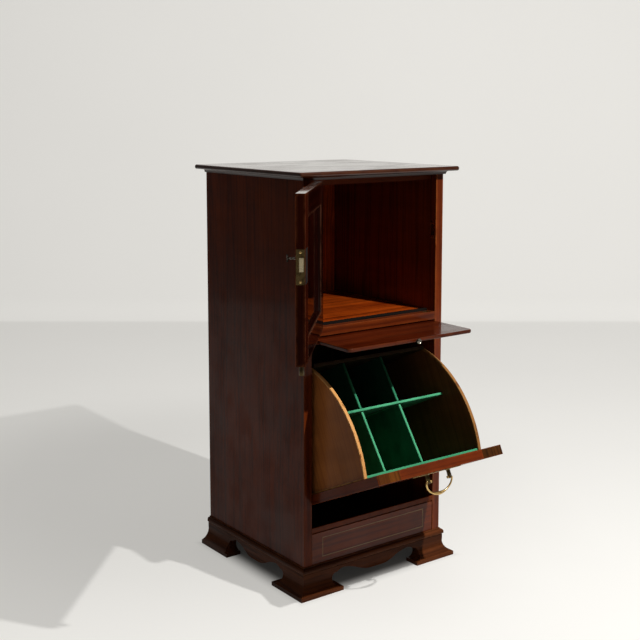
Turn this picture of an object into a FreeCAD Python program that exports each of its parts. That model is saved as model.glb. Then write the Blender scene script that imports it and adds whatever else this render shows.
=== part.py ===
import FreeCAD, Part
import math
import os
from FreeCAD import Vector

os.makedirs("parts", exist_ok=True)

# Cellarette: a standing mahogany cabinet. Its upper cupboard has a locking door, a brushing slide
# draws out below it, and a bottle bin with quadrant sides tilts out of the front.
# All lengths are millimetres. The pieces are drawn closed, with x across the middle of the carcass,
# y back from its front face and z up from the floor, and are then set in the open pose.

# Carcass boards
carcass_width = 410.0
carcass_depth = 408.0
side_thickness = 22.0
back_thickness = 10.0
back_rebate = 11.0
housing_depth = 6.0
rail_thickness = 20.0

# Working gaps
side_gap = 0.8
slip_gap = 0.2
door_stop_gap = 0.4
shadow_gap = 1.0
pin_clearance = 0.05
overrun = 5.0

# Heights of the front, stacked up from the floor
base_height = 51.0
base_moulding_height = 16.0
frieze_height = 73.0
lower_rail_height = 14.0
fall_height = 417.5
slide_rail_height = 6.0
slide_thickness = 8.5
slide_headroom = 3.0
front_rail_height = 19.5
door_height = 327.0
top_moulding_height = 8.0
top_thickness = 11.0

# Top board, its moulding and the rail that stops the door
top_overhang = 27.5
top_back_overhang = 10.0
top_upper_round = 5.0
top_lower_round = 3.5
top_moulding_foot = 4.0
top_moulding_reach = 15.0
top_moulding_sag = 3.0
top_rail_depth = 41.0
top_rail_drop = 14.0

# Base moulding and ogee bracket base
base_moulding_reach = 8.5
base_moulding_lip = 2.0
base_moulding_square = 4.0
base_moulding_chamfer = 2.5
base_moulding_swell = 2.2
bracket_neck = 6.0
bracket_neck_height = 40.0
bracket_inset = 14.0
toe_reach = 26.0
toe_height = 9.0
toe_sweep = 5.0
foot_length = 119.0
scroll_depth = 20.0
scroll_height = 21.0
scroll_lip = 4.0
scroll_lip_height = 37.0
arch_share = 0.86
arch_height = 44.0
apron_slope_share = 0.5
apron_slope_height = 33.0
apron_pendant_share = 0.16
apron_pendant_height = 24.0
apron_bulge = 2.0
rear_foot_length = 100.0
rear_foot_thickness = 16.0
rear_foot_toe = 60.0
glue_block = 30.0
glue_block_lift = 3.0

# Lower part of the carcass
bottom_thickness = 12.0
frieze_thickness = 16.0
frieze_setback = 1.0
lower_rail_depth = 14.0
string_width = 1.8
string_depth = 0.8
string_end_margin = 30.0
string_edge_margin = 13.5

# Cupboard floor and slide bed
floor_thickness = 18.0
stop_strip_depth = 7.0
stop_strip_height = 6.0
stop_strip_end_gap = 8.0
runner_width = 16.0
runner_height = 12.0
dust_board_thickness = 8.0

# Brushing slide
slide_depth = 340.0
slide_out = 132.0
slide_corner_radius = 12.0
slide_edge_round = 2.5
slide_side_gap = 1.0
knob_length = 11.0
knob_radius = 6.2
knob_shares = ((0.45, 0.0), (0.38, 0.4), (1.0, 0.66), (0.84, 1.0))
knob_x = 8.0
knob_rise = 3.4

# Door
door_thickness = 19.0
door_frame_width = 48.0
door_panel_thickness = 11.0
door_tongue = 6.0
door_tongue_thickness = 5.0
door_bead = 5.0
door_open_angle = 132.0

# Butt hinges
hinge_length = 50.0
hinge_inset = 32.0
hinge_leaf_thickness = 1.5
hinge_leaf_width = 14.0
knuckle_radius = 3.2
knuckle_stand = 3.5
hinge_pin_radius = 1.5
knuckle_gap = 0.3

# Lock, key and bolts
lock_height = 67.0
lock_width = 36.0
lock_wall = 1.2
lock_front_cover = 5.0
faceplate_thickness = 2.0
faceplate_edge = 1.0
lock_centre_drop = 137.5
bolt_height = 26.0
bolt_rise = 5.0
bolt_thickness = 8.0
bolt_length = 23.0
bolt_throw = 7.0
bolt_play = 0.1
strike_height = 40.0
strike_width = 17.0
strike_thickness = 1.5
strike_play = 0.6
keyhole_backset = 27.0
keyhole_rise = 13.0
key_radius = 2.0
key_clearance = 0.3
key_bit_reach = 7.0
key_bit_width = 2.6
key_bit_length = 4.0
key_stand = 20.0
key_barrel_radius = 2.8
key_bar_length = 15.0
key_bar_radius = 1.8
escutcheon_radius = 9.0
escutcheon_thickness = 1.0
shoot_radius = 5.0
shoot_backset = 17.0
shoot_throw = 20.0
shoot_shoulder_gap = 13.0
shoot_tail_radius = 2.5
shoot_tail_reach = 3.0
keeper_length = 22.0
keeper_width = 14.0
keeper_thickness = 1.5
keeper_play = 0.4

# Tilting bin: fall front
fall_thickness = 22.0
fall_stile_width = 60.0
fall_bottom_rail = 70.0
fall_top_rail = 60.0
fall_panel_thickness = 14.0
fall_tongue = 6.0
fall_tongue_thickness = 6.0
fall_open_angle = 65.0
pivot_back = 83.0
pivot_height = 262.0
pivot_pin_radius = 5.0
pivot_pin_bite = 14.0
pivot_washer_width = 24.0
quadrant_drop = 56.2
quadrant_inset = 9.0
quadrant_thickness = 8.5
quadrant_rear_rise = 153.0
bin_lift = 10.0
bin_board = 8.0
lining_thickness = 6.0
lining_drop = 2.0
divider_thickness = 6.0
divider_left_x = -77.4
divider_right_x = 32.7
divider_play = 0.15
cross_back = 173.0
cross_top_drop = 121.5
divider_fall_angle = 10.0
long_divider_sink = 6.5
stop_batten_depth = 18.0
stop_batten_height = 24.0
stop_gap = 0.3

# Swan-neck handle on the fall
handle_drop = 24.0
handle_spacing = 62.0
backplate_thickness = 1.6
backplate_length = 140.0
backplate_height = 32.0
backplate_waist = 14.0
backplate_shoulder = 20.0
backplate_tip_share = 0.25
post_rose_radius = 6.5
post_rose_height = 2.5
post_radius = 3.0
post_head_radius = 3.8
post_head_width = 6.0
post_stand = 16.0
bail_wire_radius = 2.0
bail_elbow_radius = 3.0
bail_drop = 31.0
bail_swell_radius = 3.8
bail_swell_angle = 32.0
bail_bow_shares = (0.22, 0.44, 0.64, 0.82)
bail_elbow_shares = (0.33, 0.67)
bail_sides = 8
bail_end_radius = 2.9
bail_end_length = 4.0
bail_end_gap = 0.4

# Derived places across, back and up
half_width = carcass_width / 2
half_inner = half_width - side_thickness
back_face = carcass_depth - back_thickness
moulding_top = base_height + base_moulding_height
frieze_top = moulding_top + frieze_height
lower_rail_bottom = frieze_top + shadow_gap
lower_rail_top = lower_rail_bottom + lower_rail_height
fall_bottom = lower_rail_top + shadow_gap
fall_top = fall_bottom + fall_height
slide_rail_bottom = fall_top + shadow_gap
runner_top = slide_rail_bottom + slide_rail_height
slide_bottom = runner_top + slip_gap
slide_top = slide_bottom + slide_thickness
front_rail_bottom = slide_top + slide_headroom
floor_top = front_rail_bottom + front_rail_height
door_bottom = floor_top + shadow_gap
door_top = door_bottom + door_height
top_moulding_bottom = door_top + shadow_gap
top_bottom = top_moulding_bottom + top_moulding_height
overall_height = top_bottom + top_thickness
runner_bottom = runner_top - runner_height
door_half = half_inner - side_gap
stop_face = door_thickness + door_stop_gap

quadrant_radius = math.hypot(pivot_back - fall_thickness, fall_top - quadrant_drop - pivot_height)

X_AXIS = Vector(1, 0, 0)
Y_AXIS = Vector(0, 1, 0)
Z_AXIS = Vector(0, 0, 1)


def block(x, y, z):
    """Box between pairs of low and high values along each axis."""
    size = [high - low for low, high in (x, y, z)]
    return Part.makeBox(size[0], size[1], size[2], Vector(x[0], y[0], z[0]))


def rod(start, direction, radius, length):
    """Round bar from a start point along a direction."""
    return Part.makeCylinder(radius, length, start, direction)


def front_plane(a, b):
    """Point across and up, on the front plane."""
    return Vector(a, 0, b)


def side_plane(a, b):
    """Point back and up, on the middle plane."""
    return Vector(0, a, b)


def outline(plane, start, *steps):
    """Closed wire on a plane. A step is an end point, or a point on an arc with its end point."""
    edges = []
    here = plane(*start)
    for step in steps + (start,):
        curved = isinstance(step[0], tuple)
        end = plane(*(step[1] if curved else step))
        if (end - here).Length > 0:
            if curved:
                edges.append(Part.Arc(here, plane(*step[0]), end).toShape())
            else:
                edges.append(Part.LineSegment(here, end).toShape())
        here = end
    return Part.Wire(edges)


def prism(wire, direction):
    """Solid made by carrying a closed wire along a vector."""
    return Part.Face(wire).extrude(direction)


def spun(points, centre, axis_turn):
    """Solid of revolution about z from (radius, height) points, turned to its axis and placed."""
    ring = [Vector(radius, 0, height) for radius, height in points]
    ring.append(ring[0])
    solid = Part.Face(Part.makePolygon(ring)).revolve(Vector(), Z_AXIS, 360)
    solid.Placement = FreeCAD.Placement(centre, axis_turn)
    return solid


def mirrored(shape):
    """The same shape on the other side of the middle plane."""
    return shape.mirror(Vector(), X_AXIS)


def mitred_runs(section, reach, inset):
    """Front, left and right lengths of a moulding that wraps the carcass, mitred at the front corners.

    The section is a function from a plane to a closed wire of (outward offset, height) points.
    """
    low, high = -overrun, overall_height + overrun
    span = carcass_width + 2 * reach
    front = prism(section(lambda o, z: Vector(-span / 2, -o, z)), X_AXIS * span)
    front_corners = [(-half_width - reach, -reach), (half_width + reach, -reach),
                     (half_width - inset, inset), (-half_width + inset, inset)]
    front = front.common(plan_prism(front_corners, low, high))
    run = carcass_depth + reach
    left = prism(section(lambda o, z: Vector(-half_width - o, -reach, z)), Y_AXIS * run)
    left_corners = [(-half_width - reach, -reach), (-half_width + inset, inset),
                    (-half_width + inset, carcass_depth), (-half_width - reach, carcass_depth)]
    left = left.common(plan_prism(left_corners, low, high))
    return front, left, mirrored(left)


def plan_prism(corners, low, high):
    """Upright prism over a plan polygon."""
    ring = [Vector(x, y, low) for x, y in corners]
    ring.append(ring[0])
    return Part.Face(Part.makePolygon(ring)).extrude(Z_AXIS * (high - low))


def swing_height(back, corner_back, corner_height):
    """Height of the circle that a low corner of the bin sweeps about its pivot, at a place further back."""
    square = (pivot_back - corner_back) ** 2 + (pivot_height - corner_height) ** 2
    return pivot_height - math.sqrt(square - (pivot_back - back) ** 2)


def opened_bin(shape):
    """Shape turned with the bin from closed to open."""
    turned = shape.copy()
    turned.rotate(Vector(0, pivot_back, pivot_height), X_AXIS, fall_open_angle)
    return turned


def divider_top(back):
    """Height of the sloping divider tops at a place behind the fall's face."""
    slope = math.tan(math.radians(divider_fall_angle))
    return fall_top - cross_top_drop + (cross_back - back) * slope


# Lock and hinge places shared by the door and the carcass
lock_middle = door_top - lock_centre_drop
lock_low, lock_high = lock_middle - lock_height / 2, lock_middle + lock_height / 2
lock_face = door_half - faceplate_thickness
bolt_middle_y = (lock_front_cover + door_thickness) / 2
bolt_low = lock_middle + bolt_rise - bolt_height / 2
bolt_y = (bolt_middle_y - bolt_thickness / 2, bolt_middle_y + bolt_thickness / 2)
bolt_z = (bolt_low, bolt_low + bolt_height)
key_x = door_half - keyhole_backset
key_z = lock_middle + keyhole_rise
shoot_x = door_half - shoot_backset
shoot_y = door_thickness / 2
hinge_x = -(half_inner + door_half) / 2
hinge_lows = (door_bottom + hinge_inset, door_top - hinge_inset - hinge_length)


def hinge_plate(inner_x, outer_x, low):
    """Flat of one hinge leaf, from behind the front to the knuckle's axis."""
    depth = (-knuckle_stand, hinge_leaf_width)
    return block((inner_x, outer_x), depth, (low, low + hinge_length))


def hinge_leaf(plate, low, own_spans, other_spans):
    """Leaf with its own knuckles, cleared round the other leaf's knuckles and bored for the pin."""
    leaf = plate
    for start, end in own_spans:
        leaf = leaf.fuse(rod(Vector(hinge_x, -knuckle_stand, start), Z_AXIS, knuckle_radius, end - start))
    for start, end in other_spans:
        clear = rod(Vector(hinge_x, -knuckle_stand, start - knuckle_gap), Z_AXIS,
                    knuckle_radius + knuckle_gap, end - start + 2 * knuckle_gap)
        leaf = leaf.cut(clear)
    bore = rod(Vector(hinge_x, -knuckle_stand, low), Z_AXIS, hinge_pin_radius + pin_clearance, hinge_length)
    return leaf.cut(bore).removeSplitter()


def hinge_pieces():
    """Carcass leaves, door leaves and pins of the two butt hinges, as lists of solids."""
    carcass_leaves, door_leaves, pins = [], [], []
    for low in hinge_lows:
        third = hinge_length / 3
        middle = [(low + third, low + 2 * third)]
        ends = [(low, low + third), (low + 2 * third, low + hinge_length)]
        trimmed_ends = [(low, low + third - knuckle_gap), (low + 2 * third + knuckle_gap, low + hinge_length)]
        fixed = hinge_plate(-half_inner - hinge_leaf_thickness, -half_inner, low)
        swung = hinge_plate(-door_half, -door_half + hinge_leaf_thickness, low)
        carcass_leaves.append(hinge_leaf(fixed, low, trimmed_ends, middle))
        door_leaves.append(hinge_leaf(swung, low, middle, ends))
        pins.append(rod(Vector(hinge_x, -knuckle_stand, low), Z_AXIS, hinge_pin_radius, hinge_length))
    return carcass_leaves, door_leaves, pins


def make_sides():
    """Left and right sides with rebates, housings, and seats for the hinges, strike and pivot pins."""
    side = block((-half_width, -half_inner), (0, carcass_depth), (base_height, top_bottom))
    rebate = block((-half_width + side_thickness - back_rebate, -half_inner),
                   (back_face, carcass_depth), (base_height, top_bottom))
    housed = (-half_inner - housing_depth, -half_inner)
    floor_slot = block(housed, (rail_thickness, back_face), (floor_top - floor_thickness, floor_top))
    bottom_slot = block(housed, (frieze_setback + frieze_thickness, back_face),
                        (base_height, base_height + bottom_thickness))
    pin_seat = rod(Vector(-half_inner - pivot_pin_bite, pivot_back, pivot_height), X_AXIS,
                   pivot_pin_radius, pivot_pin_bite)
    side = side.cut([rebate, floor_slot, bottom_slot, pin_seat])
    leaf_seats = [hinge_plate(-half_inner - hinge_leaf_thickness, -half_inner, low) for low in hinge_lows]
    strike_seat = block((half_inner, half_inner + strike_thickness), strike_span_y(), strike_span_z())
    mortise = block((half_inner, half_inner + bolt_throw + strike_thickness), grown(bolt_y, strike_play),
                    grown(bolt_z, strike_play))
    return side.cut(leaf_seats), mirrored(side).cut([strike_seat, mortise])


def grown(span, extra):
    """Low and high values moved apart by the same amount at each end."""
    return span[0] - extra, span[1] + extra


def strike_span_y():
    """Low and high depth of the strike plate."""
    return bolt_middle_y - strike_width / 2, bolt_middle_y + strike_width / 2


def strike_span_z():
    """Low and high height of the strike plate."""
    middle = sum(bolt_z) / 2
    return middle - strike_height / 2, middle + strike_height / 2


def make_top():
    """Top board with a rounded edge on three sides, its cove moulding and the stepped rail under it."""
    wide = half_width + top_overhang
    board = block((-wide, wide), (-top_overhang, carcass_depth + top_back_overhang),
                  (top_bottom, overall_height))
    upper = []
    for edge in board.Edges:
        level = edge.Vertexes[0].Z == edge.Vertexes[1].Z == overall_height
        if level and edge.CenterOfMass.y < carcass_depth:
            upper.append(edge)
    board = board.makeFillet(top_upper_round, upper)
    lower = [edge for edge in board.Edges if is_lower_top_edge(edge)]
    board = board.makeFillet(top_lower_round, lower)

    def cove(plane):
        foot, reach = top_moulding_foot, top_moulding_reach
        sag = ((foot + reach - top_moulding_sag) / 2,
               (top_moulding_bottom + top_bottom + top_moulding_sag) / 2)
        return outline(plane, (0, top_moulding_bottom), (foot, top_moulding_bottom),
                       (sag, (reach, top_bottom)), (0, top_bottom))

    mouldings = mitred_runs(cove, top_moulding_reach, 0)
    stop_bottom = top_moulding_bottom - top_rail_drop
    rail = prism(outline(lambda y, z: Vector(-half_inner, y, z), (0, top_moulding_bottom),
                         (stop_face, top_moulding_bottom), (stop_face, stop_bottom),
                         (top_rail_depth, stop_bottom), (top_rail_depth, top_bottom), (0, top_bottom)),
                 X_AXIS * (2 * half_inner))
    return board, Part.makeCompound(mouldings), rail


def is_lower_top_edge(edge):
    """True for the straight lower edges of the top board, except the back one."""
    box = edge.BoundBox
    flat = box.ZMax - top_bottom < top_lower_round and box.ZMin <= top_bottom
    return flat and box.ZLength < top_lower_round and box.YMin < carcass_depth


def make_base():
    """Base moulding and the three ogee bracket lengths with their shaped aprons."""

    def ovolo(plane):
        reach, lip = base_moulding_reach, base_moulding_lip
        square_top = base_height + base_moulding_chamfer + base_moulding_square
        swell = ((lip + reach) / 2 + base_moulding_swell,
                 (square_top + moulding_top) / 2 + base_moulding_swell)
        return outline(plane, (0, base_height), (reach - base_moulding_chamfer, base_height),
                       (reach, base_height + base_moulding_chamfer), (reach, square_top),
                       (swell, (lip, moulding_top)), (0, moulding_top))

    def ogee(plane):
        sweep = ((bracket_neck + toe_reach) / 2 - toe_sweep,
                 (bracket_neck_height + toe_height) / 2 - toe_sweep)
        return outline(plane, (-bracket_inset, 0), (toe_reach, 0), (toe_reach, toe_height),
                       (sweep, (bracket_neck, bracket_neck_height)), (bracket_neck, base_height),
                       (-bracket_inset, base_height))

    mouldings = mitred_runs(ovolo, base_moulding_reach, 0)
    front, left, right = mitred_runs(ogee, toe_reach, bracket_inset)
    deep = toe_reach + bracket_inset + 2 * overrun
    front_cut = prism(apron_outline(lambda s, z: Vector(s, -toe_reach - overrun, z),
                                    half_width + toe_reach - foot_length), Y_AXIS * deep)
    middle = (carcass_depth - toe_reach) / 2
    side_span = (carcass_depth + toe_reach) / 2 - foot_length
    left_cut = prism(apron_outline(lambda s, z: Vector(-half_width - toe_reach - overrun, middle + s, z),
                                   side_span), X_AXIS * deep)
    return (Part.makeCompound(mouldings), front.cut(front_cut), left.cut(left_cut),
            right.cut(mirrored(left_cut)))


def apron_outline(plane, span):
    """Open space under an apron, out to a half span: scrolled foot ends, two arches and a low middle."""
    right = [(span, toe_height), (span + scroll_depth, scroll_height), (span + scroll_lip, scroll_lip_height),
             (span * arch_share, arch_height), (span * apron_slope_share, apron_slope_height),
             (span * apron_pendant_share, apron_pendant_height)]
    toe, scroll, lip, arch, slope, pendant = right
    crown = ((lip[0] + arch[0]) / 2, (lip[1] + arch[1]) / 2 + apron_bulge)
    fall_off = ((arch[0] + slope[0]) / 2, (arch[1] + slope[1]) / 2 + apron_bulge)
    run_in = ((slope[0] + pendant[0]) / 2, (slope[1] + pendant[1]) / 2 - apron_bulge)
    flip = [(-s, z) for s, z in (toe, scroll, lip, crown, arch, fall_off, slope, run_in, pendant)]
    toe_l, scroll_l, lip_l, crown_l, arch_l, fall_l, slope_l, run_l, pendant_l = flip
    return outline(plane, (span, -overrun), toe, (scroll, lip), (crown, arch), (fall_off, slope),
                   (run_in, pendant), pendant_l, (run_l, slope_l), (fall_l, arch_l), (crown_l, lip_l),
                   (scroll_l, toe_l), (-span, -overrun))


def make_rear_feet():
    """Plain rear brackets and the glue blocks in the four corners."""
    inner = half_width - bracket_inset
    foot = prism(outline(lambda s, z: Vector(-inner + s, carcass_depth - rear_foot_thickness, z), (0, 0),
                         (rear_foot_toe, 0), ((rear_foot_toe + scroll_lip, scroll_height),
                                              (rear_foot_length, base_height)), (0, base_height)),
                 Y_AXIS * rear_foot_thickness)
    rear_limit = carcass_depth - rear_foot_thickness
    corner = (-inner, -inner + glue_block)
    tall = (glue_block_lift, base_height)
    front_block = block(corner, (bracket_inset, bracket_inset + glue_block), tall)
    rear_block = block(corner, (rear_limit - glue_block, rear_limit), tall)
    blocks = [front_block, rear_block, mirrored(front_block), mirrored(rear_block)]
    return Part.makeCompound([foot, mirrored(foot)]), Part.makeCompound(blocks)


def make_lower_front():
    """Frieze panel with its inlaid string, the lower rail and the bottom board."""
    face = frieze_setback
    panel = block((-door_half, door_half), (face, face + frieze_thickness), (base_height, frieze_top))
    string = string_ring(half_inner - string_end_margin, moulding_top + string_edge_margin,
                         frieze_top - string_edge_margin, face)
    back_top = swing_height(lower_rail_depth, 0, fall_bottom) - shadow_gap
    rail = prism(outline(lambda y, z: Vector(-half_inner, y, z), (0, lower_rail_bottom), (0, lower_rail_top),
                         (lower_rail_depth, back_top), (lower_rail_depth, lower_rail_bottom)),
                 X_AXIS * (2 * half_inner))
    wide = half_inner + housing_depth
    bottom = block((-wide, wide), (face + frieze_thickness, back_face),
                   (base_height, base_height + bottom_thickness))
    return panel.cut(string), string, rail, bottom


def string_ring(half, low, high, face):
    """Narrow inlaid rectangle let into a front face."""
    depth = (face, face + string_depth)
    outer = block((-half, half), depth, (low, high))
    inner = half - string_width
    return outer.cut(block((-inner, inner), depth, (low + string_width, high - string_width)))


def make_middle():
    """Cupboard floor, front rail, door stop, slide bed and the bin's stop batten."""
    wide = half_inner + housing_depth
    floor = block((-wide, wide), (rail_thickness, back_face), (floor_top - floor_thickness, floor_top))
    rail = block((-half_inner, half_inner), (0, rail_thickness), (front_rail_bottom, floor_top))
    bore = rod(Vector(shoot_x, shoot_y, door_bottom - shoot_throw - shadow_gap), Z_AXIS,
               shoot_radius + keeper_play, shoot_throw)
    keeper = block((shoot_x - keeper_length / 2, shoot_x + keeper_length / 2),
                   (shoot_y - keeper_width / 2, shoot_y + keeper_width / 2),
                   (floor_top - keeper_thickness, floor_top))
    strip = block((-half_inner, half_inner - stop_strip_end_gap), (stop_face, stop_face + stop_strip_depth),
                  (floor_top, floor_top + stop_strip_height))
    slide_rail = block((-half_inner, half_inner), (0, fall_thickness + shadow_gap),
                       (slide_rail_bottom, runner_top))
    bed = (fall_thickness + shadow_gap, back_face)
    runner = block((-half_inner, -half_inner + runner_width), bed, (runner_bottom, runner_top))
    dust = block((-half_inner + runner_width, half_inner - runner_width), bed,
                 (runner_bottom, runner_bottom + dust_board_thickness))
    inset = (fall_thickness - stop_batten_depth) / 2
    batten_top = fall_bottom - stop_gap
    batten = block((-half_inner, half_inner), (inset, inset + stop_batten_depth),
                   (batten_top - stop_batten_height, batten_top))
    return {
        "cupboard_floor": floor,
        "front_rail": rail.cut([bore, keeper]),
        "bolt_keeper": keeper.cut(bore),
        "door_stop_strip": strip,
        "slide_rail": slide_rail,
        "slide_runners": Part.makeCompound([runner, mirrored(runner)]),
        "dust_board": dust,
        "bin_stop_batten": opened_bin(batten),
    }


def make_carcass():
    """All fixed pieces of the cabinet, by node name."""
    left, right = make_sides()
    top, top_mouldings, top_rail = make_top()
    base_mouldings, base_front, base_left, base_right = make_base()
    rear_feet, glue_blocks = make_rear_feet()
    frieze, string, lower_rail, bottom = make_lower_front()
    back_half = half_width - side_thickness + back_rebate
    back = block((-back_half, back_half), (back_face, carcass_depth), (base_height, top_bottom))
    pin_end = half_inner - quadrant_inset - quadrant_thickness + slip_gap
    pin = rod(Vector(-half_inner - pivot_pin_bite, pivot_back, pivot_height), X_AXIS, pivot_pin_radius,
              half_inner + pivot_pin_bite - pin_end)
    washer_length = quadrant_inset + side_gap - slip_gap
    washer_half = pivot_washer_width / 2
    washer = block((-half_inner, -half_inner + washer_length),
                   (pivot_back - washer_half, pivot_back + washer_half),
                   (pivot_height - washer_half, pivot_height + washer_half)).cut(pin)
    strike = block((half_inner, half_inner + strike_thickness), strike_span_y(), strike_span_z())
    strike_slot = block((half_inner, half_inner + strike_thickness), grown(bolt_y, strike_play),
                        grown(bolt_z, strike_play))
    carcass_leaves, _, pins = hinge_pieces()
    pieces = {
        "side_left": left,
        "side_right": right,
        "back_panel": back,
        "top_board": top,
        "top_moulding": top_mouldings,
        "top_rail": top_rail,
        "base_moulding": base_mouldings,
        "bracket_base_front": base_front,
        "bracket_base_left": base_left,
        "bracket_base_right": base_right,
        "rear_feet": rear_feet,
        "glue_blocks": glue_blocks,
        "frieze_panel": frieze,
        "frieze_string": string,
        "lower_rail": lower_rail,
        "bottom_board": bottom,
        "bin_pivot_pins": Part.makeCompound([pin, mirrored(pin)]),
        "bin_pivot_washers": Part.makeCompound([washer, mirrored(washer)]),
        "strike_plate": strike.cut(strike_slot),
        "hinge_leaves_fixed": Part.makeCompound(carcass_leaves),
        "hinge_pins": Part.makeCompound(pins),
    }
    pieces.update(make_middle())
    return pieces


def framed(left, right, low, high, stile, low_rail, high_rail, thick):
    """Left stile, right stile, top rail and bottom rail of a frame, from its face back."""
    depth = (0, thick)
    return (block((left, left + stile), depth, (low, high)),
            block((right - stile, right), depth, (low, high)),
            block((left + stile, right - stile), depth, (high - high_rail, high)),
            block((left + stile, right - stile), depth, (low, low + low_rail)))


def tongued_panel(x, z, thick, tongue, tongue_thick):
    """Panel flush with the front face, with a tongue all round for the grooves of its frame."""
    field = block(x, (0, thick), z)
    lip = block(grown(x, tongue), ((thick - tongue_thick) / 2, (thick + tongue_thick) / 2), grown(z, tongue))
    return field.fuse(lip).removeSplitter()


def make_door():
    """Framed door with its panel, beads, hinge leaves, mortised lock and escutcheon, closed."""
    frame = framed(-door_half, door_half, door_bottom, door_top, door_frame_width, door_frame_width,
                   door_frame_width, door_thickness)
    inner_x = (-door_half + door_frame_width, door_half - door_frame_width)
    inner_z = (door_bottom + door_frame_width, door_top - door_frame_width)
    panel = tongued_panel(inner_x, inner_z, door_panel_thickness, door_tongue, door_tongue_thickness)
    hinge_stile, lock_stile, top_rail, bottom_rail = [piece.cut(panel) for piece in frame]
    seats = [hinge_plate(-door_half, -door_half + hinge_leaf_thickness, low) for low in hinge_lows]
    case_x = (lock_face - lock_width, lock_face)
    case_y = (lock_front_cover, door_thickness)
    case_z = (lock_low, lock_high)
    case = block(case_x, case_y, case_z)
    cavity = block(grown(case_x, -lock_wall), grown(case_y, -lock_wall), grown(case_z, -lock_wall))
    plate = block((lock_face, door_half), (faceplate_edge, door_thickness - faceplate_edge), case_z)
    mouth = block((lock_face - lock_wall, door_half), grown(bolt_y, bolt_play), grown(bolt_z, bolt_play))
    keyway = rod(Vector(key_x, 0, key_z), Y_AXIS, key_radius + key_clearance, door_thickness / 2)
    shoot_bore = rod(Vector(shoot_x, shoot_y, door_bottom), Z_AXIS, shoot_radius + pin_clearance,
                     lock_low - door_bottom)
    tail_bore = rod(Vector(shoot_x, shoot_y, lock_low), Z_AXIS, shoot_tail_radius + pin_clearance, lock_wall)
    lock_stile = lock_stile.cut([case, plate, keyway, shoot_bore])
    bottom_rail = bottom_rail.cut(shoot_bore)
    rose = rod(Vector(key_x, -escutcheon_thickness, key_z), Y_AXIS, escutcheon_radius, escutcheon_thickness)
    rose_hole = rod(Vector(key_x, -escutcheon_thickness, key_z), Y_AXIS, key_radius + key_clearance,
                    escutcheon_thickness)
    _, door_leaves, _ = hinge_pieces()
    return {
        "door_hinge_stile": hinge_stile.cut(seats),
        "door_lock_stile": lock_stile,
        "door_rail_top": top_rail,
        "door_rail_bottom": bottom_rail,
        "door_panel": panel,
        "door_bead": door_bead_ring(inner_x, inner_z),
        "hinge_leaves_door": Part.makeCompound(door_leaves),
        "lock_case": case.cut([cavity, mouth, keyway, tail_bore]),
        "lock_faceplate": plate.cut(mouth),
        "key_escutcheon": rose.cut(rose_hole),
    }


def door_bead_ring(x, z):
    """Bevelled bead in the corner between the door's panel and its frame, mitred at the corners."""
    face = door_panel_thickness
    ring = block(x, (face, face + door_bead), z)
    small_x, small_z = grown(x, -door_bead), grown(z, -door_bead)
    wires = []
    for depth, across, up in ((face, small_x, small_z), (face + door_bead, x, z)):
        corners = [(across[0], up[0]), (across[1], up[0]), (across[1], up[1]), (across[0], up[1])]
        corners.append(corners[0])
        wires.append(Part.makePolygon([Vector(a, depth, b) for a, b in corners]))
    return ring.cut(Part.makeLoft(wires, True, True))


def make_lock_movers():
    """Key, lock bolt and shoot bolt, thrown, with the door closed."""
    front = -key_stand + key_bar_radius
    inside = lock_front_cover + lock_wall + key_bit_length
    shaft = rod(Vector(key_x, front, key_z), Y_AXIS, key_radius, inside - front)
    bit = block((key_x - key_bit_width / 2, key_x + key_bit_width / 2),
                (inside - key_bit_length + slip_gap, inside), (key_z - key_bit_reach, key_z))
    barrel = rod(Vector(key_x, front, key_z), Y_AXIS, key_barrel_radius, -escutcheon_thickness - slip_gap - front)
    bar = rod(Vector(key_x, front, key_z - key_bar_length / 2), Z_AXIS, key_bar_radius, key_bar_length)
    key = shaft.fuse([bit, barrel, bar]).removeSplitter()
    nose = door_half + bolt_throw
    bolt = block((nose - bolt_length, nose), bolt_y, bolt_z)
    foot = door_bottom - shoot_throw
    shoulder = lock_low - shoot_throw - shoot_shoulder_gap
    shoot = rod(Vector(shoot_x, shoot_y, foot), Z_AXIS, shoot_radius, shoulder - foot)
    tail = rod(Vector(shoot_x, shoot_y, foot), Z_AXIS, shoot_tail_radius, lock_low + shoot_tail_reach - foot)
    return key, bolt, shoot.fuse(tail).removeSplitter()


def make_slide():
    """Brushing slide with rounded front corners and its turned knob, pushed in."""
    half = half_inner - slide_side_gap
    corner = slide_corner_radius
    bend = corner * (1 - math.sqrt(0.5))
    plan = outline(lambda x, y: Vector(x, y, slide_bottom), (-half, slide_depth), (half, slide_depth),
                   (half, corner), ((half - bend, bend), (half - corner, 0)), (-half + corner, 0),
                   ((-half + bend, bend), (-half, corner)))
    nose, thick = slide_edge_round, slide_thickness
    soft = nose * (1 - math.sqrt(0.5))
    section = outline(lambda y, z: Vector(-half, y, slide_bottom + z), (slide_depth, 0), (nose, 0),
                      ((soft, soft), (0, nose)), (0, thick - nose), ((soft, thick - soft), (nose, thick)),
                      (slide_depth, thick))
    board = prism(section, X_AXIS * (2 * half)).common(prism(plan, Z_AXIS * thick))
    shape = [(0, 0)] + [(knob_radius * r, knob_length * l) for r, l in knob_shares] + [(0, knob_length)]
    knob = spun(shape, Vector(knob_x, 0, slide_bottom + knob_rise), FreeCAD.Rotation(X_AXIS, 90))
    return board, knob


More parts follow.
